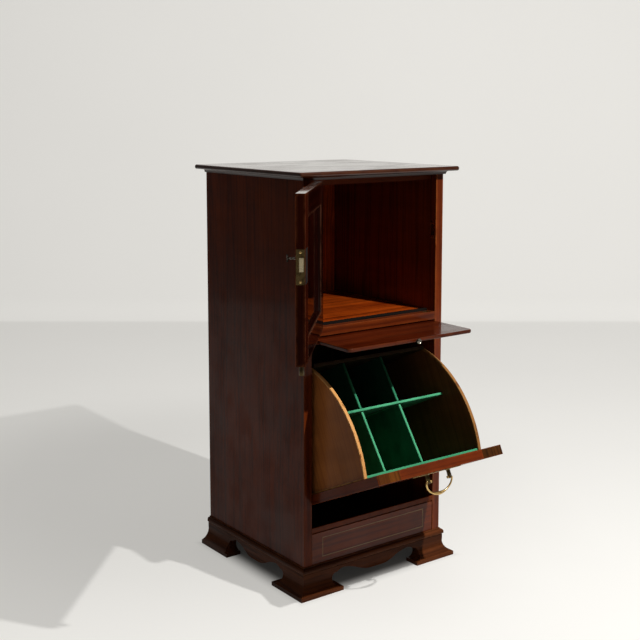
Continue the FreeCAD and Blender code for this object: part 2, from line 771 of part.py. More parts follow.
def make_bin():
    """Fall front, quadrant sides, floor, back, lining and crossed dividers, closed."""
    frame = framed(-door_half, door_half, fall_bottom, fall_top, fall_stile_width, fall_bottom_rail,
                   fall_top_rail, fall_thickness)
    panel = tongued_panel((-door_half + fall_stile_width, door_half - fall_stile_width),
                          (fall_bottom + fall_bottom_rail, fall_top - fall_top_rail),
                          fall_panel_thickness, fall_tongue, fall_tongue_thickness)
    stile_left, stile_right, rail_top, rail_bottom = [piece.cut(panel) for piece in frame]
    outer = door_half - quadrant_inset
    inner = outer - quadrant_thickness
    front, low = fall_thickness, fall_bottom + bin_lift
    back = pivot_back + math.sqrt(quadrant_radius ** 2 - quadrant_rear_rise ** 2)

    def rim(y):
        return pivot_height + math.sqrt(quadrant_radius ** 2 - (pivot_back - y) ** 2)

    crown = ((front + back) / 2, rim((front + back) / 2))
    quadrant = prism(outline(lambda y, z: Vector(inner, y, z), (front, low), (front, rim(front)),
                             (crown, (back, rim(back))), (back, low)), X_AXIS * quadrant_thickness)
    bore = rod(Vector(inner, pivot_back, pivot_height), X_AXIS, pivot_pin_radius + pin_clearance,
               quadrant_thickness)
    quadrant = quadrant.cut(bore)
    wide = (-inner, inner)
    floor_z = (low, low + bin_board)
    back_y = (back - bin_board, back)
    floor = block(wide, (front, back_y[0]), floor_z)
    rear = block(wide, back_y, (low, divider_top(back_y[0])))
    lining_y = (front, front + lining_thickness)
    lining = block(wide, lining_y, (floor_z[1], rim(front) - lining_drop))
    cross_y = (cross_back - divider_thickness / 2, cross_back + divider_thickness / 2)
    cross_top = divider_top(cross_y[1])
    halving = (floor_z[1] + cross_top) / 2
    cross = block(wide, cross_y, (floor_z[1], cross_top))
    longs = []
    for middle in (divider_left_x, divider_right_x):
        span = (middle - divider_thickness / 2, middle + divider_thickness / 2)
        ends = [(y, divider_top(y) - long_divider_sink) for y in (lining_y[1], back_y[0])]
        board = prism(outline(lambda y, z: Vector(span[0], y, z), (lining_y[1], floor_z[1]), *ends,
                              (back_y[0], floor_z[1])), X_AXIS * divider_thickness)
        longs.append(board.cut(block(span, grown(cross_y, divider_play), (halving, fall_top))))
        cross = cross.cut(block(grown(span, divider_play), cross_y, (floor_z[1], halving)))
    return {
        "fall_stile_left": stile_left,
        "fall_stile_right": stile_right,
        "fall_rail_top": rail_top,
        "fall_rail_bottom": rail_bottom,
        "fall_panel": panel,
        "quadrant_left": mirrored(quadrant),
        "quadrant_right": quadrant,
        "bin_floor": floor,
        "bin_back": rear,
        "bin_lining": lining,
        "divider_cross": cross,
        "divider_left": longs[0],
        "divider_right": longs[1],
    }


def make_handle():
    """Shaped backplate and two turned posts on the fall's face, closed."""
    level = fall_top - handle_drop
    half, high, waist = backplate_length / 2, backplate_height / 2, backplate_waist / 2
    post_x = handle_spacing / 2
    near, far = post_x - backplate_shoulder / 2, post_x + backplate_shoulder / 2
    tip_x = (far + half) / 2

    def plane(x, z):
        return Vector(x, -backplate_thickness, level + z)

    hollow = waist * backplate_tip_share
    plate = prism(outline(plane, (-half, 0), ((-tip_x, hollow), (-far, waist)),
                          ((-post_x, high), (-near, waist)), (near, waist), ((post_x, high), (far, waist)),
                          ((tip_x, hollow), (half, 0)), ((tip_x, -hollow), (far, -waist)),
                          ((post_x, -high), (near, -waist)), (-near, -waist),
                          ((-post_x, -high), (-far, -waist)), ((-tip_x, -hollow), (-half, 0))),
                  Y_AXIS * backplate_thickness)
    posts = []
    for x in (-post_x, post_x):
        foot = Vector(x, -backplate_thickness, level)
        left = x - post_head_width / 2
        rose = Part.makeCone(post_rose_radius, post_radius, post_rose_height, foot, -Y_AXIS)
        lug = prism(outline(lambda y, z: Vector(left, foot.y - y, level + z), (0, -post_radius),
                            (post_stand, -post_head_radius),
                            ((post_stand + post_head_radius, 0), (post_stand, post_head_radius)),
                            (0, post_radius)), X_AXIS * post_head_width)
        bore = rod(Vector(left, foot.y - post_stand, level), X_AXIS, bail_wire_radius + pin_clearance,
                   post_head_width)
        posts.append(rose.fuse(lug).cut(bore).removeSplitter())
    return plate, Part.makeCompound(posts)


def make_bail():
    """Bail hanging below the posts of the opened fall: one loft from end to end that swells at the grip."""
    pivot = bail_pivot()
    wire, elbow = bail_wire_radius, bail_elbow_radius
    reach = post_head_width / 2 + bail_end_gap
    end = handle_spacing / 2 - reach
    bend = handle_spacing / 2 + reach
    half = bend + elbow
    bow_height = bail_drop - elbow
    stations = [(end - bail_end_length, 0, 0, bail_end_radius), (end - wire, 0, 0, bail_end_radius),
                (end, 0, 0, wire), (bend, 0, 0, wire)]
    for share in bail_elbow_shares:
        turn = share * math.pi / 2
        stations.append((bend + elbow * math.sin(turn), elbow - elbow * math.cos(turn), turn, wire))
    stations.append((half, elbow, math.pi / 2, wire))
    for share in bail_bow_shares:
        turn = (1 + share) * math.pi / 2
        away = min(1, (math.pi - turn) / math.radians(bail_swell_angle))
        thick = wire + (bail_swell_radius - wire) * math.cos(away * math.pi / 2)
        lean = math.atan2(bow_height * math.sin(turn), half * math.cos(turn))
        stations.append((half * math.sin(turn), elbow - bow_height * math.cos(turn), lean, thick))
    middle = [(0, bail_drop, math.pi, bail_swell_radius)]
    other = [(-x, drop, 2 * math.pi - turn, thick) for x, drop, turn, thick in reversed(stations)]
    rings = []
    for x, drop, turn, thick in stations + middle + other:
        outward = Vector(math.sin(turn), 0, math.cos(turn))
        ring = []
        for step in range(bail_sides + 1):
            angle = 2 * math.pi * step / bail_sides
            ring.append(pivot + Vector(x, 0, -drop) + outward * (thick * math.cos(angle))
                        + Y_AXIS * (thick * math.sin(angle)))
        rings.append(Part.makePolygon(ring))
    return Part.makeLoft(rings, True, True)


def bail_pivot():
    """Middle of the bail's pivot line with the bin open."""
    spot = Part.Vertex(0, -backplate_thickness - post_stand, fall_top - handle_drop)
    return opened_bin(spot).Point


def opened_door(shape):
    """Shape turned with the door from closed to open."""
    turned = shape.copy()
    turned.rotate(Vector(hinge_x, -knuckle_stand, 0), Z_AXIS, -door_open_angle)
    return turned


def make_all():
    """Every piece by node name in the open pose, about the middle of the carcass front."""
    pieces = make_carcass()
    pieces.update({name: opened_door(shape) for name, shape in make_door().items()})
    key, bolt, shoot = make_lock_movers()
    for name, shape in (("key", key), ("lock_bolt", bolt), ("shoot_bolt", shoot)):
        pieces[name] = opened_door(shape)
    for name, shape in zip(("slide_board", "slide_knob"), make_slide()):
        pieces[name] = shape.translated(Vector(0, -slide_out, 0))
    pieces.update({name: opened_bin(shape) for name, shape in make_bin().items()})
    for name, shape in zip(("handle_backplate", "handle_posts"), make_handle()):
        pieces[name] = opened_bin(shape)
    pieces["handle_bail"] = make_bail()
    return pieces


pieces = make_all()
box = Part.makeCompound(list(pieces.values())).optimalBoundingBox(False, False)
origin = Vector((box.XMin + box.XMax) / 2, (box.YMin + box.YMax) / 2, box.ZMin)
for name, shape in pieces.items():
    shape.translated(-origin).exportStep(os.path.join("parts", name + ".step"))

# Places that the joints turn about, in the exported frame
spots = {
    "door hinge": Vector(hinge_x, -knuckle_stand, door_bottom),
    "bin pivot": Vector(0, pivot_back, pivot_height),
    "bail pivot": bail_pivot(),
    "key": opened_door(Part.Vertex(key_x, 0, key_z)).Point,
}
for name, spot in spots.items():
    print(name, [round(value, 4) for value in spot - origin])
print("origin", [round(value, 4) for value in origin])
print("size", [round(value, 2) for value in (box.XLength, box.YLength, box.ZLength)])
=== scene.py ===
"""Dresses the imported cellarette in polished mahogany, baize and brass, and sets it in a plain studio."""
import logging
import math
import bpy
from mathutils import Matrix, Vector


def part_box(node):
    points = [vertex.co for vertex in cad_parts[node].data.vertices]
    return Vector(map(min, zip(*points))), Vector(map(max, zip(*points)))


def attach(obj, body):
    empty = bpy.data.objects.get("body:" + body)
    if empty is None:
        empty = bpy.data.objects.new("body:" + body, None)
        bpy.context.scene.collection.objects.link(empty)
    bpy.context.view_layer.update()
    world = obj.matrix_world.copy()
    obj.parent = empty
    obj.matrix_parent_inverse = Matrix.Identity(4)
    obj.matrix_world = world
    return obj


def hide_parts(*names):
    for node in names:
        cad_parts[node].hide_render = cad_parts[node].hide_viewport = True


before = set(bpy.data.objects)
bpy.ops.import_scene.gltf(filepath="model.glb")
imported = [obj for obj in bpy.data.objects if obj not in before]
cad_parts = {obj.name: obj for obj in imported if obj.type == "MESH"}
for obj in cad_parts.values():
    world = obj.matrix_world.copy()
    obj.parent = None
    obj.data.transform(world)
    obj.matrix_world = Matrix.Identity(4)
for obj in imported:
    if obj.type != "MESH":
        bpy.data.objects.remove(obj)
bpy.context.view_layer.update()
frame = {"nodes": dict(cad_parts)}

import zlib
from dataclasses import dataclass, field, replace
from enum import Enum
from typing import Sequence

import bpy
import numpy as np

LOG = logging.getLogger("cellarette")
MM = 0.001
# Least radius, in millimetres, that an arc keeps as its outline moves in.
LEAST_ARC = 0.05
# Points on the quarter-round of a plate's arris.
ARRIS_POINTS = 4
# Direction that no axis of a turned piece is parallel to.
ASKEW = (0.31, 0.59, 0.74)
Span = tuple[float, float]
Colour = tuple[float, float, float]


class Axis(Enum):
    """Direction of a board's grain, as the number of the axis it runs along."""
    X = 0
    Y = 1
    Z = 2


class Body(Enum):
    """Moving groups of the cabinet."""
    CARCASS = "carcass"
    DOOR = "door"
    KEY = "key"
    SLIDE = "slide"
    BIN = "bin"
    BAIL = "bail"


class Rubbing(Enum):
    """How far the polish is worn off the arrises: a factor on the worn mask, which stops at one."""
    SLIGHT = 0.25
    PLAIN = 0.6
    # Pale colour all along the arrises: wear, and on the bin's quadrant rims also a painted highlight.
    HEAVY = 3.0


@dataclass
class SetOut:
    """Places the closed drawing, in millimetres about the middle of the carcass front, in the frame.

    The door is turned about its hinge line, the bin about its pivots, and the slide is drawn out.
    """
    side_corner: tuple[float, float, float] = (-205.0, 0.0, 51.0)
    hinge: Span = (-182.6, -3.5)
    door_turn: float = -132.0
    pivot: Span = (83.0, 262.0)
    bin_turn: float = 65.0
    slide_out: float = 132.0
    origin: np.ndarray = field(default_factory=lambda: np.zeros(3))

    def __post_init__(self) -> None:
        """Reads the drawing's origin from the left side's low corner."""
        self.origin = np.array(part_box("side_left")[0]) - np.array(self.side_corner) * MM

    def turned(self, points: np.ndarray, body: Body) -> np.ndarray:
        """Turns or shifts directions and points of the closed drawing with their body.

        Args:
            points: (n, 3) points in millimetres.
            body: the group that carries them.

        Returns:
            The points in the open pose, still in millimetres.
        """
        out = points.copy()
        if body in (Body.DOOR, Body.KEY):
            out[:, :2] = self._spin(points[:, :2], self.hinge, self.door_turn)
        elif body is Body.BIN:
            out[:, 1:] = self._spin(points[:, 1:], self.pivot, self.bin_turn)
        elif body is Body.SLIDE:
            out[:, 1] -= self.slide_out
        return out

    def placed(self, points: np.ndarray, body: Body) -> np.ndarray:
        """Open-pose places in the frame, in metres."""
        return self.turned(points, body) * MM + self.origin

    def normals(self, normals: np.ndarray, body: Body) -> np.ndarray:
        """Directions turned with their body, without its shift."""
        return self.turned(normals, body) - self.turned(np.zeros((1, 3)), body)

    @staticmethod
    def _spin(pairs: np.ndarray, centre: Span, degrees: float) -> np.ndarray:
        """Turns (n, 2) pairs about a centre, first axis towards the second.

        Args:
            pairs: (n, 2) points.
            centre: the point they turn about.
            degrees: how far, anticlockwise.

        Returns:
            The turned points.
        """
        turn = math.radians(degrees)
        matrix = np.array([[math.cos(turn), math.sin(turn)], [-math.sin(turn), math.cos(turn)]])
        return (pairs - centre) @ matrix + centre


@dataclass
class Surface:
    """Points in closed millimetres, faces, point normals where they are exact, and an arris mask."""
    points: np.ndarray
    faces: list[list[int]]
    normals: np.ndarray | None
    edge: np.ndarray

    def joined(self, *others: "Surface") -> "Surface":
        """One surface that holds this one and the others as separate shells.

        Args:
            others: surfaces to add.

        Returns:
            One surface with the faces of all.
        """
        parts = (self,) + others
        starts = np.cumsum([0] + [len(p.points) for p in parts[:-1]])
        faces = [[i + int(s) for i in f] for p, s in zip(parts, starts) for f in p.faces]
        exact = all(p.normals is not None for p in parts)
        return Surface(np.concatenate([p.points for p in parts]), faces,
                       np.concatenate([p.normals for p in parts]) if exact else None,
                       np.concatenate([p.edge for p in parts]))


def grid_quads(rows: int, cols: int, wrap: bool = False) -> np.ndarray:
    """Quads of a grid of points numbered row by row, each turning from row to column.

    Args:
        rows: points along the first parameter.
        cols: points along the second parameter.
        wrap: whether the last column joins the first.

    Returns:
        (n, 4) vertex numbers.
    """
    i, j = np.meshgrid(np.arange(rows - 1), np.arange(cols if wrap else cols - 1), indexing="ij")
    k = (j + 1) % cols
    quads = np.stack([i * cols + j, (i + 1) * cols + j, (i + 1) * cols + k, i * cols + k], axis=-1)
    return quads.reshape(-1, 4)


def arris_steps(span: Span, ease: float, fade: float) -> np.ndarray:
    """Places along one axis of a board: the three points of each rounded arris, and where its wear ends.

    Args:
        span: low and high values along the axis.
        ease: radius of the arrises.
        fade: width of the worn band beside an arris.

    Returns:
        The places in rising order.
    """
    low, high = span
    near = [0.0, ease * (1 - math.tan(math.pi / 8)), ease]
    if high - low > 2 * (ease + fade) + ease:
        near.append(ease + fade)
    steps = np.array(near)
    return np.concatenate([low + steps, (high - steps)[::-1]])


def eased_board(x: Span, y: Span, z: Span, ease: float, fade: float = 7.0,
                cuts: Sequence[Sequence[float]] = ((), (), ())) -> Surface:
    """Board whose arrises and corners are rounded.

    Each point of a grid on the six faces of the box is drawn in to the box shrunk by the rounding, and
    put back out by the rounding along the line between the two, which is also its normal.

    Args:
        x, y, z: low and high values along each axis.
        ease: radius of the arrises.
        fade: width of the worn band beside an arris.
        cuts: further places along each axis where the grid has a line.

    Returns:
        The closed surface.
    """
    low, high = np.array([x, y, z], float).T
    steps = [np.sort(np.concatenate([arris_steps(span, ease, fade), more]))
             for span, more in zip((x, y, z), cuts)]
    points, quads, count = [], [], 0
    for axis in range(3):
        u, v = (axis + 1) % 3, (axis + 2) % 3
        across, up = np.meshgrid(steps[u], steps[v], indexing="ij")
        for side in (low, high):
            face = np.empty(across.shape + (3,))
            face[..., u], face[..., v], face[..., axis] = across, up, side[axis]
            rows = grid_quads(*across.shape) + count
            quads.append(rows[:, ::-1] if side is low else rows)
            points.append(face.reshape(-1, 3))
            count += across.size
    flat = np.concatenate(points)
    core = np.clip(flat, low + ease, high - ease)
    out = (flat - core) / np.linalg.norm(flat - core, axis=1, keepdims=True)
    depth = np.sort(np.minimum(flat - low, high - flat), axis=1)[:, 1]
    edge = np.clip(1 - (depth - ease) / fade, 0, 1)
    round_points = core + ease * out
    _, first, again = np.unique(np.round(round_points, 5), axis=0, return_index=True, return_inverse=True)
    faces = again.reshape(-1)[np.concatenate(quads)]
    return Surface(round_points[first], faces.tolist(), out[first], edge[first])


def pocketed_board(x: Span, y: Span, z: Span, ease: float, pocket: Sequence[Span],
                   sink: Sequence[float]) -> Surface:
    """Eased board with a square pocket for a bolt.

    The faces that lie within the pocket's mouth are copied further in. A side of such a face that no other of
    them shares lies on the rim, and a wall joins it to its copy.

    Args:
        x, y, z: low and high values along each axis.
        ease: radius of the arrises.
        pocket: low and high values of the mouth along each axis, equal on the axis that it faces.
        sink: how far in the floor of the pocket lies, along each axis.

    Returns:
        The closed surface.
    """
    board = eased_board(x, y, z, ease, cuts=[() if depth else span for span, depth in zip(pocket, sink)])
    low, high = np.array(pocket, float).T
    slack = 0.01
    within = np.all((board.points > low - slack) & (board.points < high + slack), axis=1)
    faces = np.array(board.faces)
    hit = within[faces].all(axis=1)
    floor, count = faces[hit], len(board.points)
    used, again = np.unique(floor, return_inverse=True)
    sunk = again.reshape(floor.shape) + count
    start, end = floor.ravel(), np.roll(floor, -1, axis=1).ravel()
    rim = ~np.isin(start * count + end, end * count + start)
    walls = np.stack([start, end, np.roll(sunk, -1, axis=1).ravel(), sunk.ravel()], axis=1)[rim]
    return Surface(np.concatenate([board.points, board.points[used] + np.array(sink)]),
                   np.concatenate([faces[~hit], sunk, walls]).tolist(),
                   np.concatenate([board.normals, board.normals[used]]),
                   np.concatenate([board.edge, board.edge[used]]))


def swept(rings: np.ndarray, edge: float | np.ndarray = 0.0) -> Surface:
    """Skin over a row of closed rings, with a flat cap on each end ring.

    Point (s, t) is the t-th point of the s-th ring; the rings turn so that the skin faces outwards.

    Args:
        rings: (stations, points, 3) array.
        edge: arris mask: one value, one for each point of a ring, or a column with one for each ring.

    Returns:
        The surface, without exact normals.
    """
    stations, around, _ = rings.shape
    faces = grid_quads(stations, around, wrap=True)[:, ::-1].tolist()
    faces.append(list(range(around))[::-1])
    faces.append(list(range((stations - 1) * around, stations * around)))
    mask = np.array(np.broadcast_to(edge, (stations, around)), float)
    return outward(Surface(rings.reshape(-1, 3), faces, None, mask.ravel()))


def outward(surface: Surface) -> Surface:
    """The same closed surface with its faces turned over if the volume they bound comes out negative.

    Args:
        surface: a closed surface.

    Returns:
        The surface, facing outwards.
    """
    corners = np.array([face[:3] for face in surface.faces])
    middle = surface.points.mean(axis=0)
    first, second, third = (surface.points[corners[:, i]] - middle for i in range(3))
    weight = np.array([len(face) - 2 for face in surface.faces])
    if np.sum(weight * np.einsum("ij,ij->i", first, np.cross(second, third))) < 0:
        surface.faces = [face[::-1] for face in surface.faces]
    return surface


@dataclass
class Outline:
    """Closed flat line that can be moved inwards: corner, mitre, rounding, direction and limit by point."""
    corner: np.ndarray
    mitre: np.ndarray
    radius: np.ndarray
    out: np.ndarray
    limit: np.ndarray

    def inset(self, depth: np.ndarray) -> np.ndarray:
        """The line moved inwards by several depths.

        A rounded corner keeps its middle and its arc shrinks; once the depth passes the rounding, the corner
        moves along its mitre instead.

        Args:
            depth: (s,) depths.

        Returns:
            (s, n, 2) points.
        """
        deep = np.minimum(depth[:, None], self.limit)
        wide = np.maximum(self.radius, deep + LEAST_ARC)[..., None]
        return self.corner - self.mitre * wide + self.out * (wide - deep[..., None])


def rounded_outline(corners: Sequence[Span], radii: Sequence[float], steps: int = 5) -> Outline:
    """Closed outline through corners, each with its own rounding.

    A rounded corner is the arc that touches both of its sides; its directions turn with the arc. A corner
    without rounding keeps one point, whose direction halves the turn.

    Args:
        corners: points in anticlockwise order.
        radii: rounding of each corner, zero for none.
        steps: points on an arc.

    Returns:
        The outline, with no limit to how deep it may be moved in.
    """
    ring = np.array(corners, float)
    ahead = np.roll(ring, -1, axis=0) - ring
    ahead /= np.linalg.norm(ahead, axis=1, keepdims=True)
    n_out = np.stack([ahead[:, 1], -ahead[:, 0]], axis=1)
    n_in = np.roll(n_out, 1, axis=0)
    square = np.einsum("ij,ij->i", n_in, n_out)
    mitre = (n_in + n_out) / (1 + square)[:, None]
    start = np.arctan2(n_in[:, 1], n_in[:, 0])
    turn = np.arctan2(n_in[:, 0] * n_out[:, 1] - n_in[:, 1] * n_out[:, 0], square)
    count = np.where(np.array(radii) > 0, steps, 1)
    place = np.repeat(np.arange(len(ring)), count)
    share = np.concatenate([np.linspace(0, 1, n) if n > 1 else [0.5] for n in count])
    angle = start[place] + turn[place] * share
    out = np.stack([np.cos(angle), np.sin(angle)], axis=1)
    return Outline(ring[place], mitre[place], np.array(radii, float)[place], out, np.full(len(place), np.inf))


def eased_plate(line: Outline, span: Span, ease: float, axis: Axis, fade: float = 4.0) -> Surface:
    """Flat plate with an outline in one plane and a quarter-round on both arrises.

    Ring s of the skin is the outline moved in by the rounding less its sine, at a depth of the rounding
    less its cosine; a ring further in on each face ends the worn band.

    Args:
        line: outline in the two axes that follow the plate's axis.
        span: low and high values along the plate's axis.
        ease: rounding of the arrises.
        axis: axis across the plate.
        fade: width of the worn band.

    Returns:
        The closed surface.
    """
    turn = np.linspace(0, math.pi / 2, ARRIS_POINTS)
    quarter = np.concatenate([[ease + fade], ease * (1 - np.sin(turn))])
    sink = np.concatenate([[0.0], ease * (1 - np.cos(turn))])
    lean = np.concatenate([[1.0], np.cos(turn)])
    flat = line.inset(np.concatenate([quarter, quarter[::-1]]))
    depth = np.concatenate([span[0] + sink, span[1] - sink[::-1]])
    face = np.concatenate([-lean, lean[::-1]])
    u, v, w = (axis.value + 1) % 3, (axis.value + 2) % 3, axis.value
    wide = np.sqrt(1 - face ** 2)[:, None]
    rings, normals = np.empty((2,) + flat.shape[:2] + (3,))
    rings[..., u], rings[..., v], rings[..., w] = flat[..., 0], flat[..., 1], depth[:, None]
    normals[..., u], normals[..., v] = wide * line.out[:, 0], wide * line.out[:, 1]
    normals[..., w] = face[:, None]
    edge = np.ones((len(depth), 1))
    edge[[0, -1]] = 0
    surface = swept(rings, edge)
    surface.normals = normals.reshape(-1, 3)
    return surface


def turned_piece(profile: Sequence[Span], foot: Sequence[float], along: Sequence[float],
                 sides: int = 32) -> Surface:
    """Turned piece: a profile of (radius, length) points carried round an axis.

    Args:
        profile: points from the foot to the tip, none of them on the axis.
        foot: where the axis starts.
        along: unit direction of the axis.
        sides: points round the axis.

    Returns:
        The closed surface.
    """
    radius, length = np.array(profile, float).T
    axis = np.array(along, float)
    first = np.cross(axis, ASKEW)
    first /= np.linalg.norm(first)
    second = np.cross(axis, first)
    angle = np.arange(sides) * 2 * math.pi / sides
    spoke = np.cos(angle)[:, None] * first + np.sin(angle)[:, None] * second
    return swept(np.array(foot) + length[:, None, None] * axis + radius[:, None, None] * spoke)


def tube(path: np.ndarray, radius: np.ndarray, across: Sequence[float], sides: int = 16) -> Surface:
    """Round bar of changing thickness along a flat path.

    Each ring lies square to the path, between the direction across its plane and the normal in it.

    Args:
        path: (n, 3) middle line.
        radius: (n,) thickness at each point.
        across: unit direction square to the path's plane.
        sides: points round the bar.

    Returns:
        The closed surface.
    """
    ahead = np.gradient(path, axis=0)
    ahead /= np.linalg.norm(ahead, axis=1, keepdims=True)
    plane = np.array(across, float)
    normal = np.cross(plane, ahead)
    angle = np.arange(sides) * 2 * math.pi / sides
    ring = np.cos(angle)[None, :, None] * normal[:, None] + np.sin(angle)[None, :, None] * plane
    return swept(path[:, None] + radius[:, None, None] * ring)


class Graph:
    """Adds nodes to one node tree and links them."""

    def __init__(self, tree: bpy.types.NodeTree) -> None:
        """Keeps the tree."""
        self.tree = tree

    def add(self, kind: str, links: dict | None = None, **props: object) -> bpy.types.Node:
        """New node with its properties, and its inputs set to numbers or linked to sockets.

        Args:
            kind: node type.
            links: value or socket for each input, by name or number.
            props: node properties.

        Returns:
            The node.
        """
        node = self.tree.nodes.new(kind)
        for name, value in props.items():
            setattr(node, name, value)
        self.feed(node, links or {})
        return node

    def feed(self, node: bpy.types.Node, links: dict) -> None:
        """Sets a node's inputs to numbers or links them to sockets.

        Args:
            node: the node.
            links: value or socket for each input, by name or number.
        """
        for key, value in links.items():
            if isinstance(value, bpy.types.NodeSocket):
                self.tree.links.new(value, node.inputs[key])
            else:
                node.inputs[key].default_value = value

    def effect(self, name: str, links: dict) -> bpy.types.Node:
        """Node of a shared group, with its inputs fed."""
        return self.add("ShaderNodeGroup", links, node_tree=EFFECTS.group(name))

    def bump(self, height: object, strength: float, distance: float) -> object:
        """Normal of a surface raised by a height."""
        return self.add("ShaderNodeBump", {"Height": height, "Strength": strength,
                                           "Distance": distance}).outputs["Normal"]

    def noise(self, vector: object, scale: Sequence[float], detail: float = 2.0,
              roughness: float = 0.5) -> object:
        """Noise over a vector stretched by a scale for each axis.

        Args:
            vector: coordinates.
            scale: stretch along each axis.
            detail: number of finer layers.
            roughness: weight of the finer layers.

        Returns:
            The socket of its value.
        """
        stretched = self.add("ShaderNodeVectorMath", {0: vector, 1: scale}, operation="MULTIPLY").outputs[0]
        return self.add("ShaderNodeTexNoise", {"Vector": stretched, "Scale": 1.0, "Detail": detail,
                                               "Roughness": roughness}).outputs["Fac"]

    def sums(self, kind: str, first: object, second: object, clamp: bool = False) -> object:
        """Result of one sum of two values."""
        return self.add("ShaderNodeMath", {0: first, 1: second}, operation=kind, use_clamp=clamp).outputs[0]

    def step(self, value: object, low: float, high: float, out_low: float = 0.0,
             out_high: float = 1.0) -> object:
        """Smooth step of a value between two limits."""
        return self.add("ShaderNodeMapRange", {0: value, 1: low, 2: high, 3: out_low, 4: out_high},
                        interpolation_type="SMOOTHSTEP").outputs[0]

    def mix(self, share: object, first: object, second: object, kind: str = "MIX") -> object:
        """Mix of two colours."""
        return self.add("ShaderNodeMix", {0: share, 6: first, 7: second}, data_type="RGBA",
                        blend_type=kind).outputs[2]


class Effects:
    """Node groups that several finishes share, each built once."""

    def __init__(self) -> None:
        """Starts with no groups."""
        self.made: dict[str, bpy.types.NodeTree] = {}

    def group(self, name: str) -> bpy.types.NodeTree:
        """The named group, built on first use by the method of that name.

        Args:
            name: name of the group and of its method.

        Returns:
            The group.
        """
        if name not in self.made:
            self.made[name] = getattr(self, name)()
        return self.made[name]

    @staticmethod
    def blank(name: str, inputs: Sequence[tuple[str, str]], outputs: Sequence[tuple[str, str]]) -> tuple:
        """Empty group with named sockets.

        Args:
            name: the group's name.
            inputs: name and kind of each input.
            outputs: name and kind of each output.

        Returns:
            The tree, a graph on it, and its input and output nodes.
        """
        tree = bpy.data.node_groups.new(name, "ShaderNodeTree")
        for label, kind in inputs:
            tree.interface.new_socket(label, in_out="INPUT", socket_type="NodeSocket" + kind)
        for label, kind in outputs:
            tree.interface.new_socket(label, in_out="OUTPUT", socket_type="NodeSocket" + kind)
        return tree, Graph(tree), tree.nodes.new("NodeGroupInput"), tree.nodes.new("NodeGroupOutput")

    def wood_grain(self) -> bpy.types.NodeTree:
        """Wood figure: broad wavy bands, narrow streaks and short pores drawn out along the grain.

        Returns:
            The group.
        """
        tree, graph, given, out = self.blank(
            "wood_grain", [("Along", "Vector"), ("Dark", "Color"), ("Mid", "Color"), ("Light", "Color"),
                           ("Figure", "Float"), ("Pores", "Float")],
            [("Color", "Color"), ("Streak", "Float"), ("Height", "Float")])
        along = given.outputs["Along"]
        wave = graph.noise(along, (2.2, 9.0, 9.0), 2.0)
        sway = graph.add("ShaderNodeVectorMath", {0: (0.0, 0.035, 0.035), "Scale": wave}, operation="SCALE")
        warped = graph.add("ShaderNodeVectorMath", {0: along, 1: sway.outputs[0]}, operation="ADD").outputs[0]
        band = graph.noise(warped, (1.3, 24.0, 24.0), 3.0, 0.55)
        streak = graph.noise(warped, (1.7, 140.0, 140.0), 3.0, 0.6)
        fine = graph.noise(warped, (11.0, 900.0, 900.0), 2.0)
        cloud = graph.noise(along, (3.0, 5.0, 5.0), 1.0)
        cross = graph.noise(along, (26.0, 5.0, 5.0), 1.0)
        pore = graph.step(graph.noise(warped, (75.0, 1500.0, 1500.0), 1.0), 0.60, 0.72)
        body = graph.sums("ADD", graph.sums("MULTIPLY", band, 0.6), graph.sums("MULTIPLY", streak, 0.4))
        share = graph.step(body, 0.34, 0.66)
        shown = graph.sums("MULTIPLY", share, given.outputs["Figure"])
        colour = graph.mix(shown, given.outputs["Mid"], given.outputs["Light"])
        deep = graph.sums("MULTIPLY", graph.step(streak, 0.54, 0.36), 0.5)
        colour = graph.mix(deep, colour, given.outputs["Dark"])
        shade = graph.sums("ADD", graph.step(cloud, 0.3, 0.7, 0.72, 1.12),
                           graph.step(cross, 0.35, 0.65, -0.05, 0.08))
        grey = graph.add("ShaderNodeCombineColor", {0: shade, 1: shade, 2: shade}).outputs[0]
        colour = graph.mix(1.0, colour, grey, "MULTIPLY")
        pitted = graph.sums("MULTIPLY", pore, given.outputs["Pores"])
        colour = graph.mix(pitted, colour, given.outputs["Dark"])
        height = graph.sums("SUBTRACT", graph.sums("MULTIPLY", fine, 0.5), pitted)
        graph.feed(out, {"Color": colour, "Streak": streak, "Height": height})
        return tree

    def rubbed_arris(self) -> bpy.types.NodeTree:
        """Colour that gives way to a lighter one along the arrises, broken up by noise.

        Returns:
            The group.
        """
        tree, graph, given, out = self.blank(
            "rubbed_arris", [("Along", "Vector"), ("Color", "Color"), ("Worn", "Color"), ("Amount", "Float")],
            [("Color", "Color")])
        edge = graph.add("ShaderNodeAttribute", attribute_name="edge").outputs["Fac"]
        patch = graph.noise(given.outputs["Along"], (45.0, 70.0, 70.0), 3.0)
        speck = graph.noise(given.outputs["Along"], (400.0, 500.0, 500.0), 1.0)
        near = graph.sums("POWER", edge, 2.5)
        torn = graph.step(graph.sums("ADD", patch, graph.sums("MULTIPLY", speck, 0.4)), 0.45, 0.85)
        mask = graph.sums("MULTIPLY", graph.sums("MULTIPLY", near, torn), given.outputs["Amount"], True)
        graph.feed(out, {"Color": graph.mix(mask, given.outputs["Color"], given.outputs["Worn"])})
        return tree

    def handling(self) -> bpy.types.NodeTree:
        """Smears and fine dust of use: a value that dulls the polish in soft patches, with faint ripples.

        Returns:
            The group.
        """
        tree, graph, given, out = self.blank("handling", [("Along", "Vector"), ("Streak", "Float")],
                                             [("Dull", "Float"), ("Ripple", "Float")])
        smear = graph.noise(given.outputs["Along"], (9.0, 16.0, 16.0), 4.0, 0.6)
        dust = graph.noise(given.outputs["Along"], (700.0, 700.0, 700.0), 1.0)
        dull = graph.sums("ADD", graph.step(smear, 0.35, 0.75, 0.0, 0.7), graph.sums("MULTIPLY", dust, 0.2))
        dull = graph.sums("ADD", dull, graph.sums("MULTIPLY", given.outputs["Streak"], 0.15), True)
        ripple = graph.noise(given.outputs["Along"], (5.0, 22.0, 22.0), 1.0)
        graph.feed(out, {"Dull": dull, "Ripple": ripple})
        return tree

